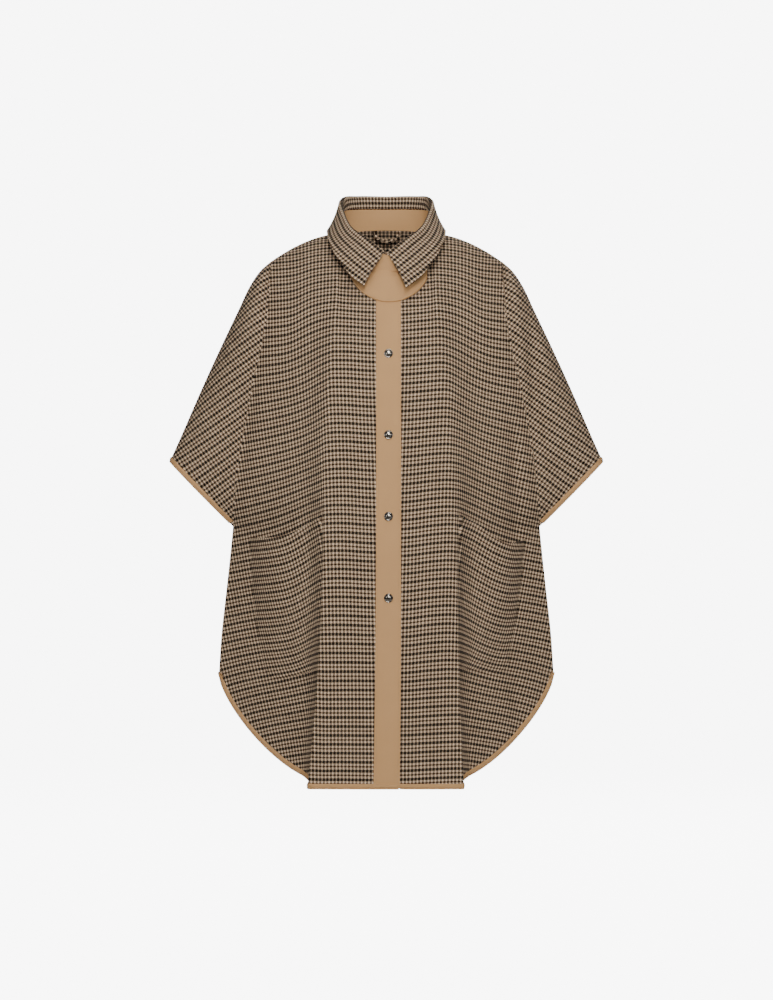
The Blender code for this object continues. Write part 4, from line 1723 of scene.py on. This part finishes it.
@dataclass
class Poncho:
    """The fronts and the back with their bindings.

    Fields: the cut, the finishes, half the placket's width, how far a hem binding stands off over it, how far
    the left front goes under the right one and lies in, where the bindings start, and the fronts' creases.
    """

    cut: Cut
    finishes: Finishes
    placket_half: float = 0.0195
    over_placket: float = 0.0013
    underlap: float = 0.015
    lap_step: float = 0.0031
    beside_placket: float = 0.0004
    cuff_start: int = 2
    creases: tuple[Crease, ...] = (
        Crease(
            ((0.186, -0.075), (0.196, -0.16), (0.209, -0.235), (0.226, -0.33), (0.241, -0.44)),
            0.009,
            -0.005,
            (-1.0, 1.0),
        ),
        Crease(((0.214, -0.1), (0.2324, -0.17), (0.236, -0.29), (0.2528, -0.422)), 0.013, -0.013, (1.0,)),
        Crease(((0.198, -0.270), (0.2043, -0.340), (0.2080, -0.500)), 0.012, -0.010, (1.0,)),
        Crease(((0.0918, -0.280), (0.0918, -0.460), (0.0900, -0.680)), 0.012, 0.004, (1.0,)),
        Crease(((0.0560, -0.440), (0.0558, -0.640), (0.0570, -0.860)), 0.012, -0.004, (1.0,)),
        Crease(((0.0442, -0.420), (0.0442, -0.600), (0.0460, -0.800)), 0.013, -0.003, (-1.0,)),
        Crease(((0.1960, -0.690), (0.2090, -0.745), (0.2190, -0.810)), 0.014, -0.006, (1.0,)),
        Crease(((0.2150, -0.230), (0.2230, -0.330), (0.2300, -0.410)), 0.014, -0.003, (-1.0,)),
    )

    def front(self, label: str, hand: float, lap: float, step: float) -> Sheet:
        """Builds a front with its bindings.

        Args:
            label: The side's name.
            hand: 1 for the wearer's left, -1 for the right.
            lap: How far it goes past the centre.
            step: How far its middle lies in.

        Returns:
            The front's sheet.
        """
        sheet = Sheet(FRONT.facing)
        side = LEFT_FRONT if hand > 0 else FRONT
        half = Panel(self.cut).half(sheet, side, hand, -lap / self.cut.hem_half, step, self.creases)
        sheet.close()
        sheet.lay_weave(in_surface(sheet, half.weft), in_surface(sheet, half.warp), hold=half.hold)
        node = f"front_{label}"
        shell = settle(sheet.shell(f"{node}_shell", -self.cut.wall, 0.0), self.finishes.wool, node)
        out = hand * sheet.points[half.body[-1], 0]
        start = 0
        rise = self.over_placket * (out < self.placket_half)
        if hand > 0:
            start = int(np.searchsorted(out, self.placket_half + self.beside_placket))
            rise = 0.0
        Binding().build(f"hem_binding_{label}", sheet, half.body[:, start:], self.finishes, rise)
        mouth = half.sleeve[:, self.cuff_start :]
        Binding().build(f"cuff_binding_front_{label}", sheet, mouth, self.finishes)
        return sheet

    def back(self) -> None:
        """Builds the back with its bindings."""
        panel = Panel(self.cut)
        sheet = Sheet(BACK.facing)
        left = panel.half(sheet, BACK, 1.0, 0.0, 0.0, ())
        right = panel.half(sheet, BACK, -1.0, 0.0, 0.0, ())
        sheet.close()
        weft = in_surface(sheet, np.concatenate((left.weft, right.weft)))
        sheet.lay_weave(weft, in_surface(sheet, np.concatenate((left.warp, right.warp))))
        shell = settle(sheet.shell("back_shell", -self.cut.wall, 0.0), self.finishes.wool, "back")
        hem = np.concatenate((right.body[:, :0:-1], left.body), axis=1)
        Binding().build("hem_binding_back", sheet, hem, self.finishes)
        for label, half in (("left", left), ("right", right)):
            mouth = half.sleeve[:, self.cuff_start :]
            Binding().build(f"cuff_binding_back_{label}", sheet, mouth, self.finishes)


@dataclass
class Pocket:
    """A slack patch pocket whose mouth hangs open, laid out as it is seen from the front.

    Fields: the hand it lies on, its mouth and its foot as share of the width, distance out and height, how far
    it stands off, where along its width it stands off most, how far its outer edge bows out, the drop of its
    weft and the lean of its warp; then how far it is sunk along its sewn sides and over what shares of its size.
    """

    hand: float
    mouth: Table
    foot: Table
    fullness: float
    ridge: float
    bow: float
    flow: Table
    lean: Table
    gap: float = 0.0008
    slack_top: float = 0.1
    inner_sunk: float = 0.0031
    inner_blend: float = 0.09
    outer_sunk: float = 0.0008
    outer_start: float = 0.93
    outer_blend: float = 0.06
    foot_sunk: float = 0.0006
    foot_blend: float = 0.05
    rows: int = 64
    columns: int = 72
    crowd_places: tuple[float, ...] = (0.0, 0.12, 0.2, 1.0)
    crowding: tuple[float, ...] = (3.0, 3.0, 1.0, 1.0)

    def build(self, label: str, cut: Cut, front: Sheet, finishes: Finishes) -> None:
        """Makes the pocket, its check matched to the front's along its three sewn sides.

        Args:
            label: The side's name.
            cut: The cut.
            front: The front that it is sewn to, with its weave laid.
            finishes: The finishes.
        """
        side = LEFT_FRONT if self.hand > 0 else FRONT
        across = spread(self.crowd_places, self.crowding, self.columns)
        part = np.linspace(0.0, 1.0, self.rows)[:, None]
        mouth = through(self.mouth, across)
        foot = through(self.foot, across)
        seen = mouth[None] + (foot - mouth)[None] * part[..., None]
        out = seen[..., 0] + self.bow * across**4 * np.sin(math.pi * part)
        share, down = cut.found(side, out, seen[..., 1])
        points = cut.body(side, share, down)
        power = math.log(0.5) / math.log(self.ridge)
        tightened = ease((part - self.slack_top) / (1.0 - self.slack_top))
        swell = np.sin(math.pi * np.minimum(across**power, 1.0)) * np.cos(0.5 * math.pi * tightened)
        points[..., 1] += self.gap + self.fullness * swell
        sheet = Sheet(FRONT.facing)
        numbers = sheet.add(placed(FRONT, self.hand, points))
        sheet.close()
        inner = self.inner_sunk * (1.0 - ease(across / self.inner_blend))
        outer = self.outer_sunk * ease((across - self.outer_start) / self.outer_blend)
        lower = self.foot_sunk * ease((part - 1.0 + self.foot_blend) / self.foot_blend)
        sunk = np.maximum(np.maximum(inner, outer)[None], lower)
        sheet.points -= sheet.normals * sunk.reshape(-1, 1)
        drop, lean = (np.tile(through(rows, across)[:, 0], self.rows) for rows in (self.flow, self.lean))
        weft = in_surface(sheet, seen_way(drop, self.hand, 0.0))
        warp = in_surface(sheet, seen_way(lean, self.hand, 90.0))
        edge = np.unique(np.concatenate((numbers[:, 0], numbers[:, -1], numbers[-1])))
        sheet.lay_weave(weft, warp, (edge, front.weave_near(sheet.points[edge])))
        node = f"pocket_{label}"
        shell = settle(sheet.shell(f"{node}_shell", 0.0, cut.wall), finishes.wool, node)


POCKET_RIGHT = Pocket(
    hand=-1.0,
    mouth=(
        (0.00, 0.0985, -0.4428), (0.06, 0.1035, -0.4465), (0.25, 0.1224, -0.4599),
        (0.45, 0.1490, -0.4740), (0.72, 0.1824, -0.4818), (1.00, 0.2162, -0.4818),
    ),
    foot=(
        (0.00, 0.1105, -0.6905), (0.12, 0.1190, -0.6925), (0.50, 0.1474, -0.6991),
        (0.85, 0.1805, -0.7007), (1.00, 0.1927, -0.6881),
    ),
    fullness=0.016,
    ridge=0.66,
    bow=0.005,
    flow=((0.0, 30), (0.15, 34), (0.32, 34), (0.45, 25), (0.6, 11), (0.75, 5), (0.86, 2), (1.0, 0)),
    lean=((0.0, 19), (0.3, 19), (0.55, 16), (0.75, 15), (0.9, 8), (1.0, 8)),
)
POCKET_LEFT = Pocket(
    hand=1.0,
    mouth=(
        (0.00, 0.1125, -0.4432), (0.06, 0.1170, -0.4456), (0.31, 0.1398, -0.4584),
        (0.54, 0.1668, -0.4787), (0.78, 0.1934, -0.4912), (1.00, 0.2199, -0.4849),
    ),
    foot=(
        (0.00, 0.1155, -0.6850), (0.10, 0.1215, -0.6865), (0.50, 0.1485, -0.6897),
        (0.85, 0.1816, -0.6913), (1.00, 0.1934, -0.6800),
    ),
    fullness=0.018,
    ridge=0.72,
    bow=0.003,
    flow=((0.0, 30), (0.33, 37), (0.61, 27), (0.8, 12), (0.9, -2), (1.0, -5)),
    lean=((0.0, 24), (0.5, 23), (0.75, 22), (0.9, 12), (1.0, 11)),
)


@dataclass
class Collar:
    """A shirt collar: a stand that rises from the neck seam and a fall that rolls over it.

    Fields: the cut, and rows of how far round the neck from the centre back (0) by the shoulder (1) to the
    front edge (2), the roll line's point, the edge's point and the stand's share of the rise. Lengths are in
    metres, and the roll's reach, rise and drop are shares of its radius.
    """

    cut: Cut
    rows: Table = (
        (0.000, 0.000, 0.063, 0.067, 0.000, 0.084, 0.010, 0.63),
        (0.405, 0.0465, 0.055, 0.067, 0.061, 0.076, 0.008, 0.63),
        (0.700, 0.0660, 0.032, 0.063, 0.088, 0.042, 0.008, 0.64),
        (1.000, 0.069, -0.004, 0.042, 0.0945, -0.014, 0.006, 0.68),
        (1.290, 0.057, -0.044, 0.012, 0.087, -0.067, -0.023, 0.74),
        (1.616, 0.030, -0.072, -0.011, 0.062, -0.101, -0.063, 0.78),
        (1.990, 0.0015, -0.084, -0.033, 0.035, -0.114, -0.087, 0.80),
    )
    stations: int = 60
    last: float = 1.99
    stand_lines: int = 10
    rise_lines: int = 7
    roll_lines: int = 5
    fall_lines: int = 16
    roll_turns: tuple[float, float] = (0.15, 0.85)
    fall_start: float = 0.06
    roll: float = 0.0031
    roll_reach: float = 1.05
    roll_rise: float = 0.55
    roll_drop: float = 0.35
    over_seam: float = 0.0012
    under_roll: float = 0.0015
    front_swell: float = 0.0045
    swell_blend: float = 0.6
    back_dip: float = 0.0015
    left_tip: Triple = (-0.004, 0.0, -0.0025)
    tip_start: float = 1.5
    stand_thick: float = 0.0024
    stand_foot: float = 0.0016
    stand_top: float = 0.985
    # The stand's right end laps over its left: how far at foot and top, thicknesses out, and stations.
    stand_lap: tuple[float, float] = (0.019, 0.007)
    lap_out: float = 1.1
    lap_stations: int = 8
    cut_share: float = 0.75

    def lines(self, at: Array) -> tuple[Array, Array, Array, Array]:
        """Follows the collar round the neck.

        Args:
            at: How far round each station is.

        Returns:
            Neck, roll and edge points and the stand's shares, from the centre back to the left front edge.
        """
        values = through(self.rows, at)
        to_front = np.maximum(2.0 - at, 1e-6)
        behind, before = (
            placed(side, 1.0, np.stack(self.cut.top_edge(side, share * self.cut.neck_share), axis=-1))
            for side, share in ((BACK, at), (FRONT, to_front))
        )
        neck = np.where(at[:, None] <= 1.0, behind, before)
        return neck, values[:, :3], values[:, 3:6], values[:, 6:]

    def both(self, lines: Sequence[Array]) -> Array:
        """Mirrors half a collar to the other side.

        Args:
            lines: Lines along the half, from the centre back.

        Returns:
            The stations from the right front edge to the left one, by lines.
        """
        half = np.stack(lines, axis=1)
        return np.concatenate((half[:0:-1] * np.array((-1.0, 1.0, 1.0)), half))

    def build(self, finishes: Finishes) -> None:
        """Makes the stand and the fall.

        Args:
            finishes: The finishes.
        """
        at = np.linspace(0.0, self.last, self.stations)
        neck, roll, edge, part = self.lines(at)
        rise = roll - neck
        seam = neck + rise * part
        up = unit(rise)
        fallen = edge - roll
        away = unit(fallen - up * np.sum(fallen * up, axis=1, keepdims=True))
        foot = neck - up * self.stand_foot
        levels = np.linspace(0.0, self.stand_top, self.stand_lines)
        stand = self.both([foot + (seam - foot) * level for level in levels])
        lower = seam + up * self.over_seam
        top = roll - up * self.under_roll
        line = [lower + (top - lower) * t for t in np.linspace(0.0, 1.0, self.rise_lines)]
        for turn in np.linspace(*self.roll_turns, self.roll_lines):
            reach = self.roll_reach * (1.0 - math.cos(turn * math.pi))
            height = self.roll_rise * math.sin(turn * math.pi) - self.roll_drop * turn
            line.append(roll + away * self.roll * reach + up * self.roll * height)
        out = roll + away * 2.0 * self.roll_reach * self.roll - up * self.roll
        swell = (self.front_swell * ease((at - 1.0) / self.swell_blend) - self.back_dip)[:, None]
        for t in np.linspace(self.fall_start, 1.0, self.fall_lines):
            line.append(out + (edge - out) * t + away * swell * math.sin(math.pi * t))
        fall = self.both(line)
        count = self.lap_stations
        near_end = ease(np.linspace(1.0, 0.0, count))[:, None]
        stand[:count, :, 0] += near_end * np.linspace(*self.stand_lap, stand.shape[1])
        stand[:count, :, 1] -= near_end * self.stand_thick * self.lap_out
        to_tip = ease((at - self.tip_start) / (self.last - self.tip_start))[:, None]
        to_tip = to_tip * np.linspace(0.0, 1.0, fall.shape[1])
        fall[self.stations - 1 :] += to_tip[..., None] * np.array(self.left_tip)
        self.strip("collar_stand", stand, self.stand_thick, finishes.cotton, (0.48, 0.055))
        self.strip("collar_fall", fall, self.cut.wall, finishes.wool, (0.52, 0.10))

    def strip(
        self, name: str, points: Array, thick: float, finish: Finish, flat: tuple[float, float]
    ) -> None:
        """Makes one strip of the collar.

        Args:
            name: The CAD node's name.
            points: Stations by points across by 3.
            thick: The strip's thickness.
            finish: Its finish.
            flat: Its length and width when it was cut; it is not used.
        """
        sheet = Sheet(1.0)
        sheet.add(points)
        sheet.close()
        sheet.lay_weave(np.gradient(points, axis=0).reshape(-1, 3))
        shell = settle(sheet.shell(f"{name}_shell", -thick / 2, thick / 2), finish, name)


@dataclass
class Trim:
    """The tan pieces on the middle of the front: the throat bib, the placket and their stitching."""

    cut: Cut
    # Shares of the way down, and where the strip's two edges lie across, right first.
    placket_edges: Table = (
        (0.0, -0.0161, 0.0230),
        (0.55, -0.0161, 0.0230),
        (0.80, -0.0176, 0.0225),
        (1.0, -0.0199, 0.0208),
    )
    placket_rows: int = 150
    placket_columns: int = 13
    placket_lift: float = 0.0005
    placket_thick: float = 0.0012
    stitch_columns: tuple[int, int] = (1, 11)
    stitch_start: int = 6
    bib_across: float = 0.005
    bib_height: float = -0.046
    bib_radius: float = 0.066
    bib_lift: float = 0.0030
    bib_thick: float = 0.0018
    bib_edge_lift: float = 0.0019
    bib_edge_thick: float = 0.3
    bib_turn: float = 0.03
    bib_stitch: float = 0.93
    bib_first: float = -0.236
    bib_last: float = 0.284
    bib_tuck: float = 0.010
    bib_columns: int = 61
    bib_rows: int = 46
    bib_crowding: float = 12.0
    bib_neck_blend: float = 4.0
    bib_deepest: float = 0.2

    def placket(self, finishes: Finishes) -> None:
        """Makes the strip down the middle of the right front.

        Args:
            finishes: The finishes.
        """
        top = self.cut.down_at(self.bib_height - self.bib_radius + self.bib_tuck)
        downs = np.linspace(top, 1.0, self.placket_rows)
        step = 0.05
        half_width = self.cut.body(FRONT, np.full_like(downs, step), downs)[:, 0] / step
        edges = through(self.placket_edges, downs) / half_width[:, None]
        shares = edges[:, :1] + (edges[:, 1:] - edges[:, :1]) * np.linspace(0.0, 1.0, self.placket_columns)
        sheet = Sheet(FRONT.facing)
        numbers = sheet.add(placed(FRONT, -1.0, self.cut.body(FRONT, -shares[:, ::-1], downs[:, None])))
        sheet.close()
        sheet.lay_flat()
        outer = self.placket_lift + self.placket_thick
        strip = settle(sheet.shell("placket_strip", self.placket_lift, outer), finishes.cotton, "placket")
        rows = [numbers[self.stitch_start : -1, column] for column in self.stitch_columns]
        thread = sewn("placket", [(rail(sheet, row, outer), sheet.normals[row]) for row in rows], finishes)

    def bib_edge(self, shares: Array) -> Array:
        """Finds where the bib's round edge crosses columns of the front.

        Args:
            shares: The columns.

        Returns:
            The shares of the way down.
        """
        halvings = 40
        low = np.zeros_like(shares)
        high = np.full_like(shares, self.bib_deepest)
        for _ in range(halvings):
            middle = 0.5 * (low + high)
            point = self.cut.body(FRONT, shares, middle)
            inside = np.hypot(point[:, 0] - self.bib_across, point[:, 2] - self.bib_height) < self.bib_radius
            low = np.where(inside, middle, low)
            high = np.where(inside, high, middle)
        return low

    def bib(self, finishes: Finishes) -> None:
        """Makes the rounded throat piece.

        Args:
            finishes: The finishes.
        """
        shares = np.linspace(self.bib_first, self.bib_last, self.bib_columns)
        part = spread((0.0, 1.0 - self.bib_turn, 1.0), (1.0, 1.0, self.bib_crowding), self.bib_rows)
        downs = self.bib_edge(shares)[None] * part[:, None]
        sheet = Sheet(FRONT.facing)
        numbers = sheet.add(placed(FRONT, 1.0, self.cut.body(FRONT, shares[None], downs)))
        sheet.close()
        sheet.lay_flat()
        rounded = np.sqrt(1.0 - (1.0 - np.minimum((1.0 - part) / self.bib_turn, 1.0)) ** 2)
        sunk = (self.bib_lift - self.bib_edge_lift) * (1.0 - rounded)
        low = self.bib_lift * ease(self.bib_neck_blend * part) - sunk
        high = low + self.bib_thick * (self.bib_edge_thick + (1.0 - self.bib_edge_thick) * rounded)
        low, high = (np.repeat(level, len(shares))[:, None] for level in (low, high))
        bib = settle(sheet.shell("neck_bib_shell", low, high), finishes.cotton, "neck_bib")
        row = numbers[int(np.searchsorted(part, self.bib_stitch))]
        thread = sewn("neck_bib", [(rail(sheet, row, high[row]), sheet.normals[row])], finishes)


@dataclass
class HangerLoop:
    """The hanger loop, a twisted strip of the check hung from the back neck seam."""

    middle: float = 0.001
    half: float = 0.019
    depth: float = 0.0525
    lean: float = 0.0045
    top: float = 0.0125
    sag: float = 0.0170
    sag_power: float = 0.65
    wide: float = 0.0076
    thick: float = 0.0056
    twist: float = 2.0
    end_slant: float = 0.05
    pressed: float = 0.72
    woven_round: float = 0.024
    woven_along: float = 0.052
    steps: int = 60
    sides: int = 14

    def build(self, finishes: Finishes) -> None:
        """Makes the loop.

        Args:
            finishes: The finishes.
        """
        run = np.linspace(0.0, 1.0, self.steps + 1)
        turn = math.pi * run
        sag = np.sin(turn)
        sideways = self.middle - self.half * np.cos(turn)
        back = self.depth + self.lean * (1.0 - sag)
        centre = np.stack((sideways, back, self.top - self.sag * sag**self.sag_power), axis=1)
        way = unit(np.stack((sag + self.end_slant, np.zeros_like(sag), -np.cos(turn)), axis=1))
        deep = np.array((0.0, 1.0, 0.0))
        across = np.cross(way, deep)
        spin = self.twist * turn[:, None]
        round_it = np.arange(self.sides) / self.sides
        wide = 0.5 * self.wide * np.cos(2 * math.pi * round_it)
        thick = 0.5 * self.thick * np.sin(2 * math.pi * round_it)
        aside = wide * np.cos(spin) - thick * np.sin(spin)
        behind = self.pressed * (wide * np.sin(spin) + thick * np.cos(spin))
        rings = centre[:, None] + across[:, None] * aside[..., None] + deep * behind[..., None]
        weave = np.stack(np.meshgrid(self.woven_round * round_it, self.woven_along * run), axis=-1)
        loop = settle(swept("hanger_loop_strip", rings, weave), finishes.wool, "hanger_loop")


@dataclass
class Snap:
    """A snap's cap: a round rim about a low dome, turned about its axis, its profile as radius and rise."""

    cut: Cut
    across: float = 0.0034
    top: float = -0.193
    pitch: float = 0.1275
    lift: float = 0.0018
    turns: int = 48
    profile: Table = (
        (0.00705, 0.0000), (0.0071, 0.0007), (0.0069, 0.0014), (0.0064, 0.0018), (0.0059, 0.0017),
        (0.0056, 0.0013), (0.0053, 0.0013), (0.0050, 0.0018), (0.0044, 0.0023), (0.0034, 0.0026),
        (0.0020, 0.0028), (0.0004, 0.00285),
    )

    def build(self, index: int, finishes: Finishes) -> None:
        """Makes one cap.

        Args:
            index: Its number from the top, from 0.
            finishes: The finishes.
        """
        height = self.top - self.pitch * index
        down = self.cut.down_at(height)
        back = -float(self.cut.body(FRONT, np.array(0.0), np.array(down))[1]) - self.lift
        angles = 2 * math.pi * np.arange(self.turns) / self.turns
        radius, rise = np.array(self.profile).T[..., None]
        ring = (self.across + radius * np.cos(angles), back - rise, height + radius * np.sin(angles))
        name = f"snap_{index + 1}"
        settle(swept(f"{name}_cap", np.stack(np.broadcast_arrays(*ring), axis=-1)), finishes.metal, name)


@dataclass
class Studio:
    """The floor and backdrop, the lights and the camera of the photograph.

    Each light has a name, a place, a side and a power in watts.
    """

    distance: float = 5.5
    aim_height: float = -0.4224
    aim_across: float = 0.0003
    lens: float = 82.5
    sensor: float = 24.0
    world_light: float = 0.08
    floor: float = -1.25
    floor_radius: float = 6.5
    floor_sides: int = 64
    floor_dark: Triple = (184, 184, 184)
    floor_light: Triple = (190, 190, 190)
    floor_roughness: float = 0.9
    floor_cloud: float = 1.5
    bend: float = 2.0
    bend_steps: int = 9
    wall_height: float = 8.0
    glow: float = 7.8
    lights: tuple[tuple[str, Triple, float, float], ...] = (
        ("key", (0.3, -1.6, 2.6), 1.2, 32.0),
        ("front", (0.0, -1.75, 0.42), 0.45, 19.0),
        ("right_side", (-0.8, -1.75, -0.2), 0.4, 4.6),
        ("left_side", (0.8, -1.75, -0.2), 0.4, 4.6),
        ("glint", (0.35, -5.3, 0.35), 0.6, 52.0),
        ("behind", (0.6, 3.6, 1.6), 2.4, 200.0),
    )

    def build(self) -> None:
        """Makes the stage, the lights and the camera."""
        self.backdrop()
        for light in self.lights:
            self.light(*light)
        world = bpy.data.worlds.new("studio")
        world.use_nodes = True
        background = world.node_tree.nodes["Background"]
        background.inputs[0].default_value = (1.0, 1.0, 1.0, 1.0)
        background.inputs[1].default_value = self.world_light
        bpy.context.scene.world = world
        camera = bpy.data.cameras.new("camera")
        camera.sensor_fit = "VERTICAL"
        camera.sensor_height = self.sensor
        camera.lens = self.lens
        holder = bpy.data.objects.new("camera", camera)
        holder.location = (self.aim_across, -self.distance, self.aim_height)
        holder.rotation_euler = (math.radians(90.0), 0.0, 0.0)
        bpy.context.scene.collection.objects.link(holder)
        bpy.context.scene.camera = holder

    def backdrop(self) -> None:
        """Makes the pale round floor that curves up into the backdrop on every side."""
        bm = bmesh.new()
        same_place = 0.001
        turns = np.linspace(0.0, 0.5 * math.pi, self.bend_steps)
        wall = self.floor_radius + self.bend
        outs = np.concatenate(([0.0], self.floor_radius + self.bend * np.sin(turns), [wall]))
        heights = np.concatenate(([0.0], self.bend * (1.0 - np.cos(turns)), [self.wall_height]))
        verts = [bm.verts.new((out, 0.0, self.floor + height)) for out, height in zip(outs, heights)]
        edges = [bm.edges.new(pair) for pair in zip(verts, verts[1:])]
        upright = {"cent": (0.0, 0.0, 0.0), "axis": (0.0, 0.0, 1.0), "angle": 2.0 * math.pi}
        bmesh.ops.spin(bm, geom=verts + edges, steps=self.floor_sides, use_merge=True, **upright)
        bmesh.ops.remove_doubles(bm, verts=bm.verts, dist=same_place)
        floor = made_object("floor", bm)
        material, graph, shader = new_material("pale_floor")
        clouded(graph, shader, self.floor_cloud, 2.0, self.floor_dark, self.floor_light)
        shader.inputs["Roughness"].default_value = self.floor_roughness
        shader.inputs["Emission Color"].default_value = (1.0, 1.0, 1.0, 1.0)
        seen = graph.node("ShaderNodeLightPath").outputs["Is Camera Ray"]
        graph.feed(shader.inputs["Emission Strength"], graph.math("MULTIPLY", seen, self.glow))
        floor.data.materials.append(material)

    def light(self, name: str, place: Triple, size: float, power: float) -> None:
        """Adds a soft light that looks at the poncho's middle.

        Args:
            name: The light's name.
            place: Where it stands.
            size: Its side.
            power: Its power in watts.
        """
        data = bpy.data.lights.new(name, "AREA")
        data.size = size
        data.energy = power
        lamp = bpy.data.objects.new(name, data)
        lamp.location = place
        way = unit(np.array((0.0, 0.0, self.aim_height)) - np.array(place))
        lamp.rotation_euler = (math.acos(-way[2]), 0.0, math.atan2(way[1], way[0]) - 0.5 * math.pi)
        bpy.context.scene.collection.objects.link(lamp)


def main() -> None:
    """Builds the studio and every piece of the poncho."""
    logging.basicConfig(level=logging.INFO, format="%(message)s")
    Studio().build()
    finishes = Finishes(
        wool=Finish(CheckWool().material(), Slot.WOOL),
        cotton=Finish(TanCotton().material(), Slot.COTTON),
        thread=Finish(Thread().material(), Slot.COTTON),
        metal=Finish(SnapMetal().material(), Slot.METAL),
    )
    cut = Cut()
    poncho = Poncho(cut, finishes)
    right_front = poncho.front("right", -1.0, poncho.placket_half, 0.0)
    left_front = poncho.front("left", 1.0, poncho.underlap, poncho.lap_step)
    poncho.back()
    POCKET_RIGHT.build("right", cut, right_front, finishes)
    POCKET_LEFT.build("left", cut, left_front, finishes)
    Collar(cut).build(finishes)
    trim = Trim(cut)
    trim.placket(finishes)
    trim.bib(finishes)
    HangerLoop().build(finishes)
    for index in range(SNAP_COUNT):
        Snap(cut).build(index, finishes)


if __name__ == "__main__":
    main()
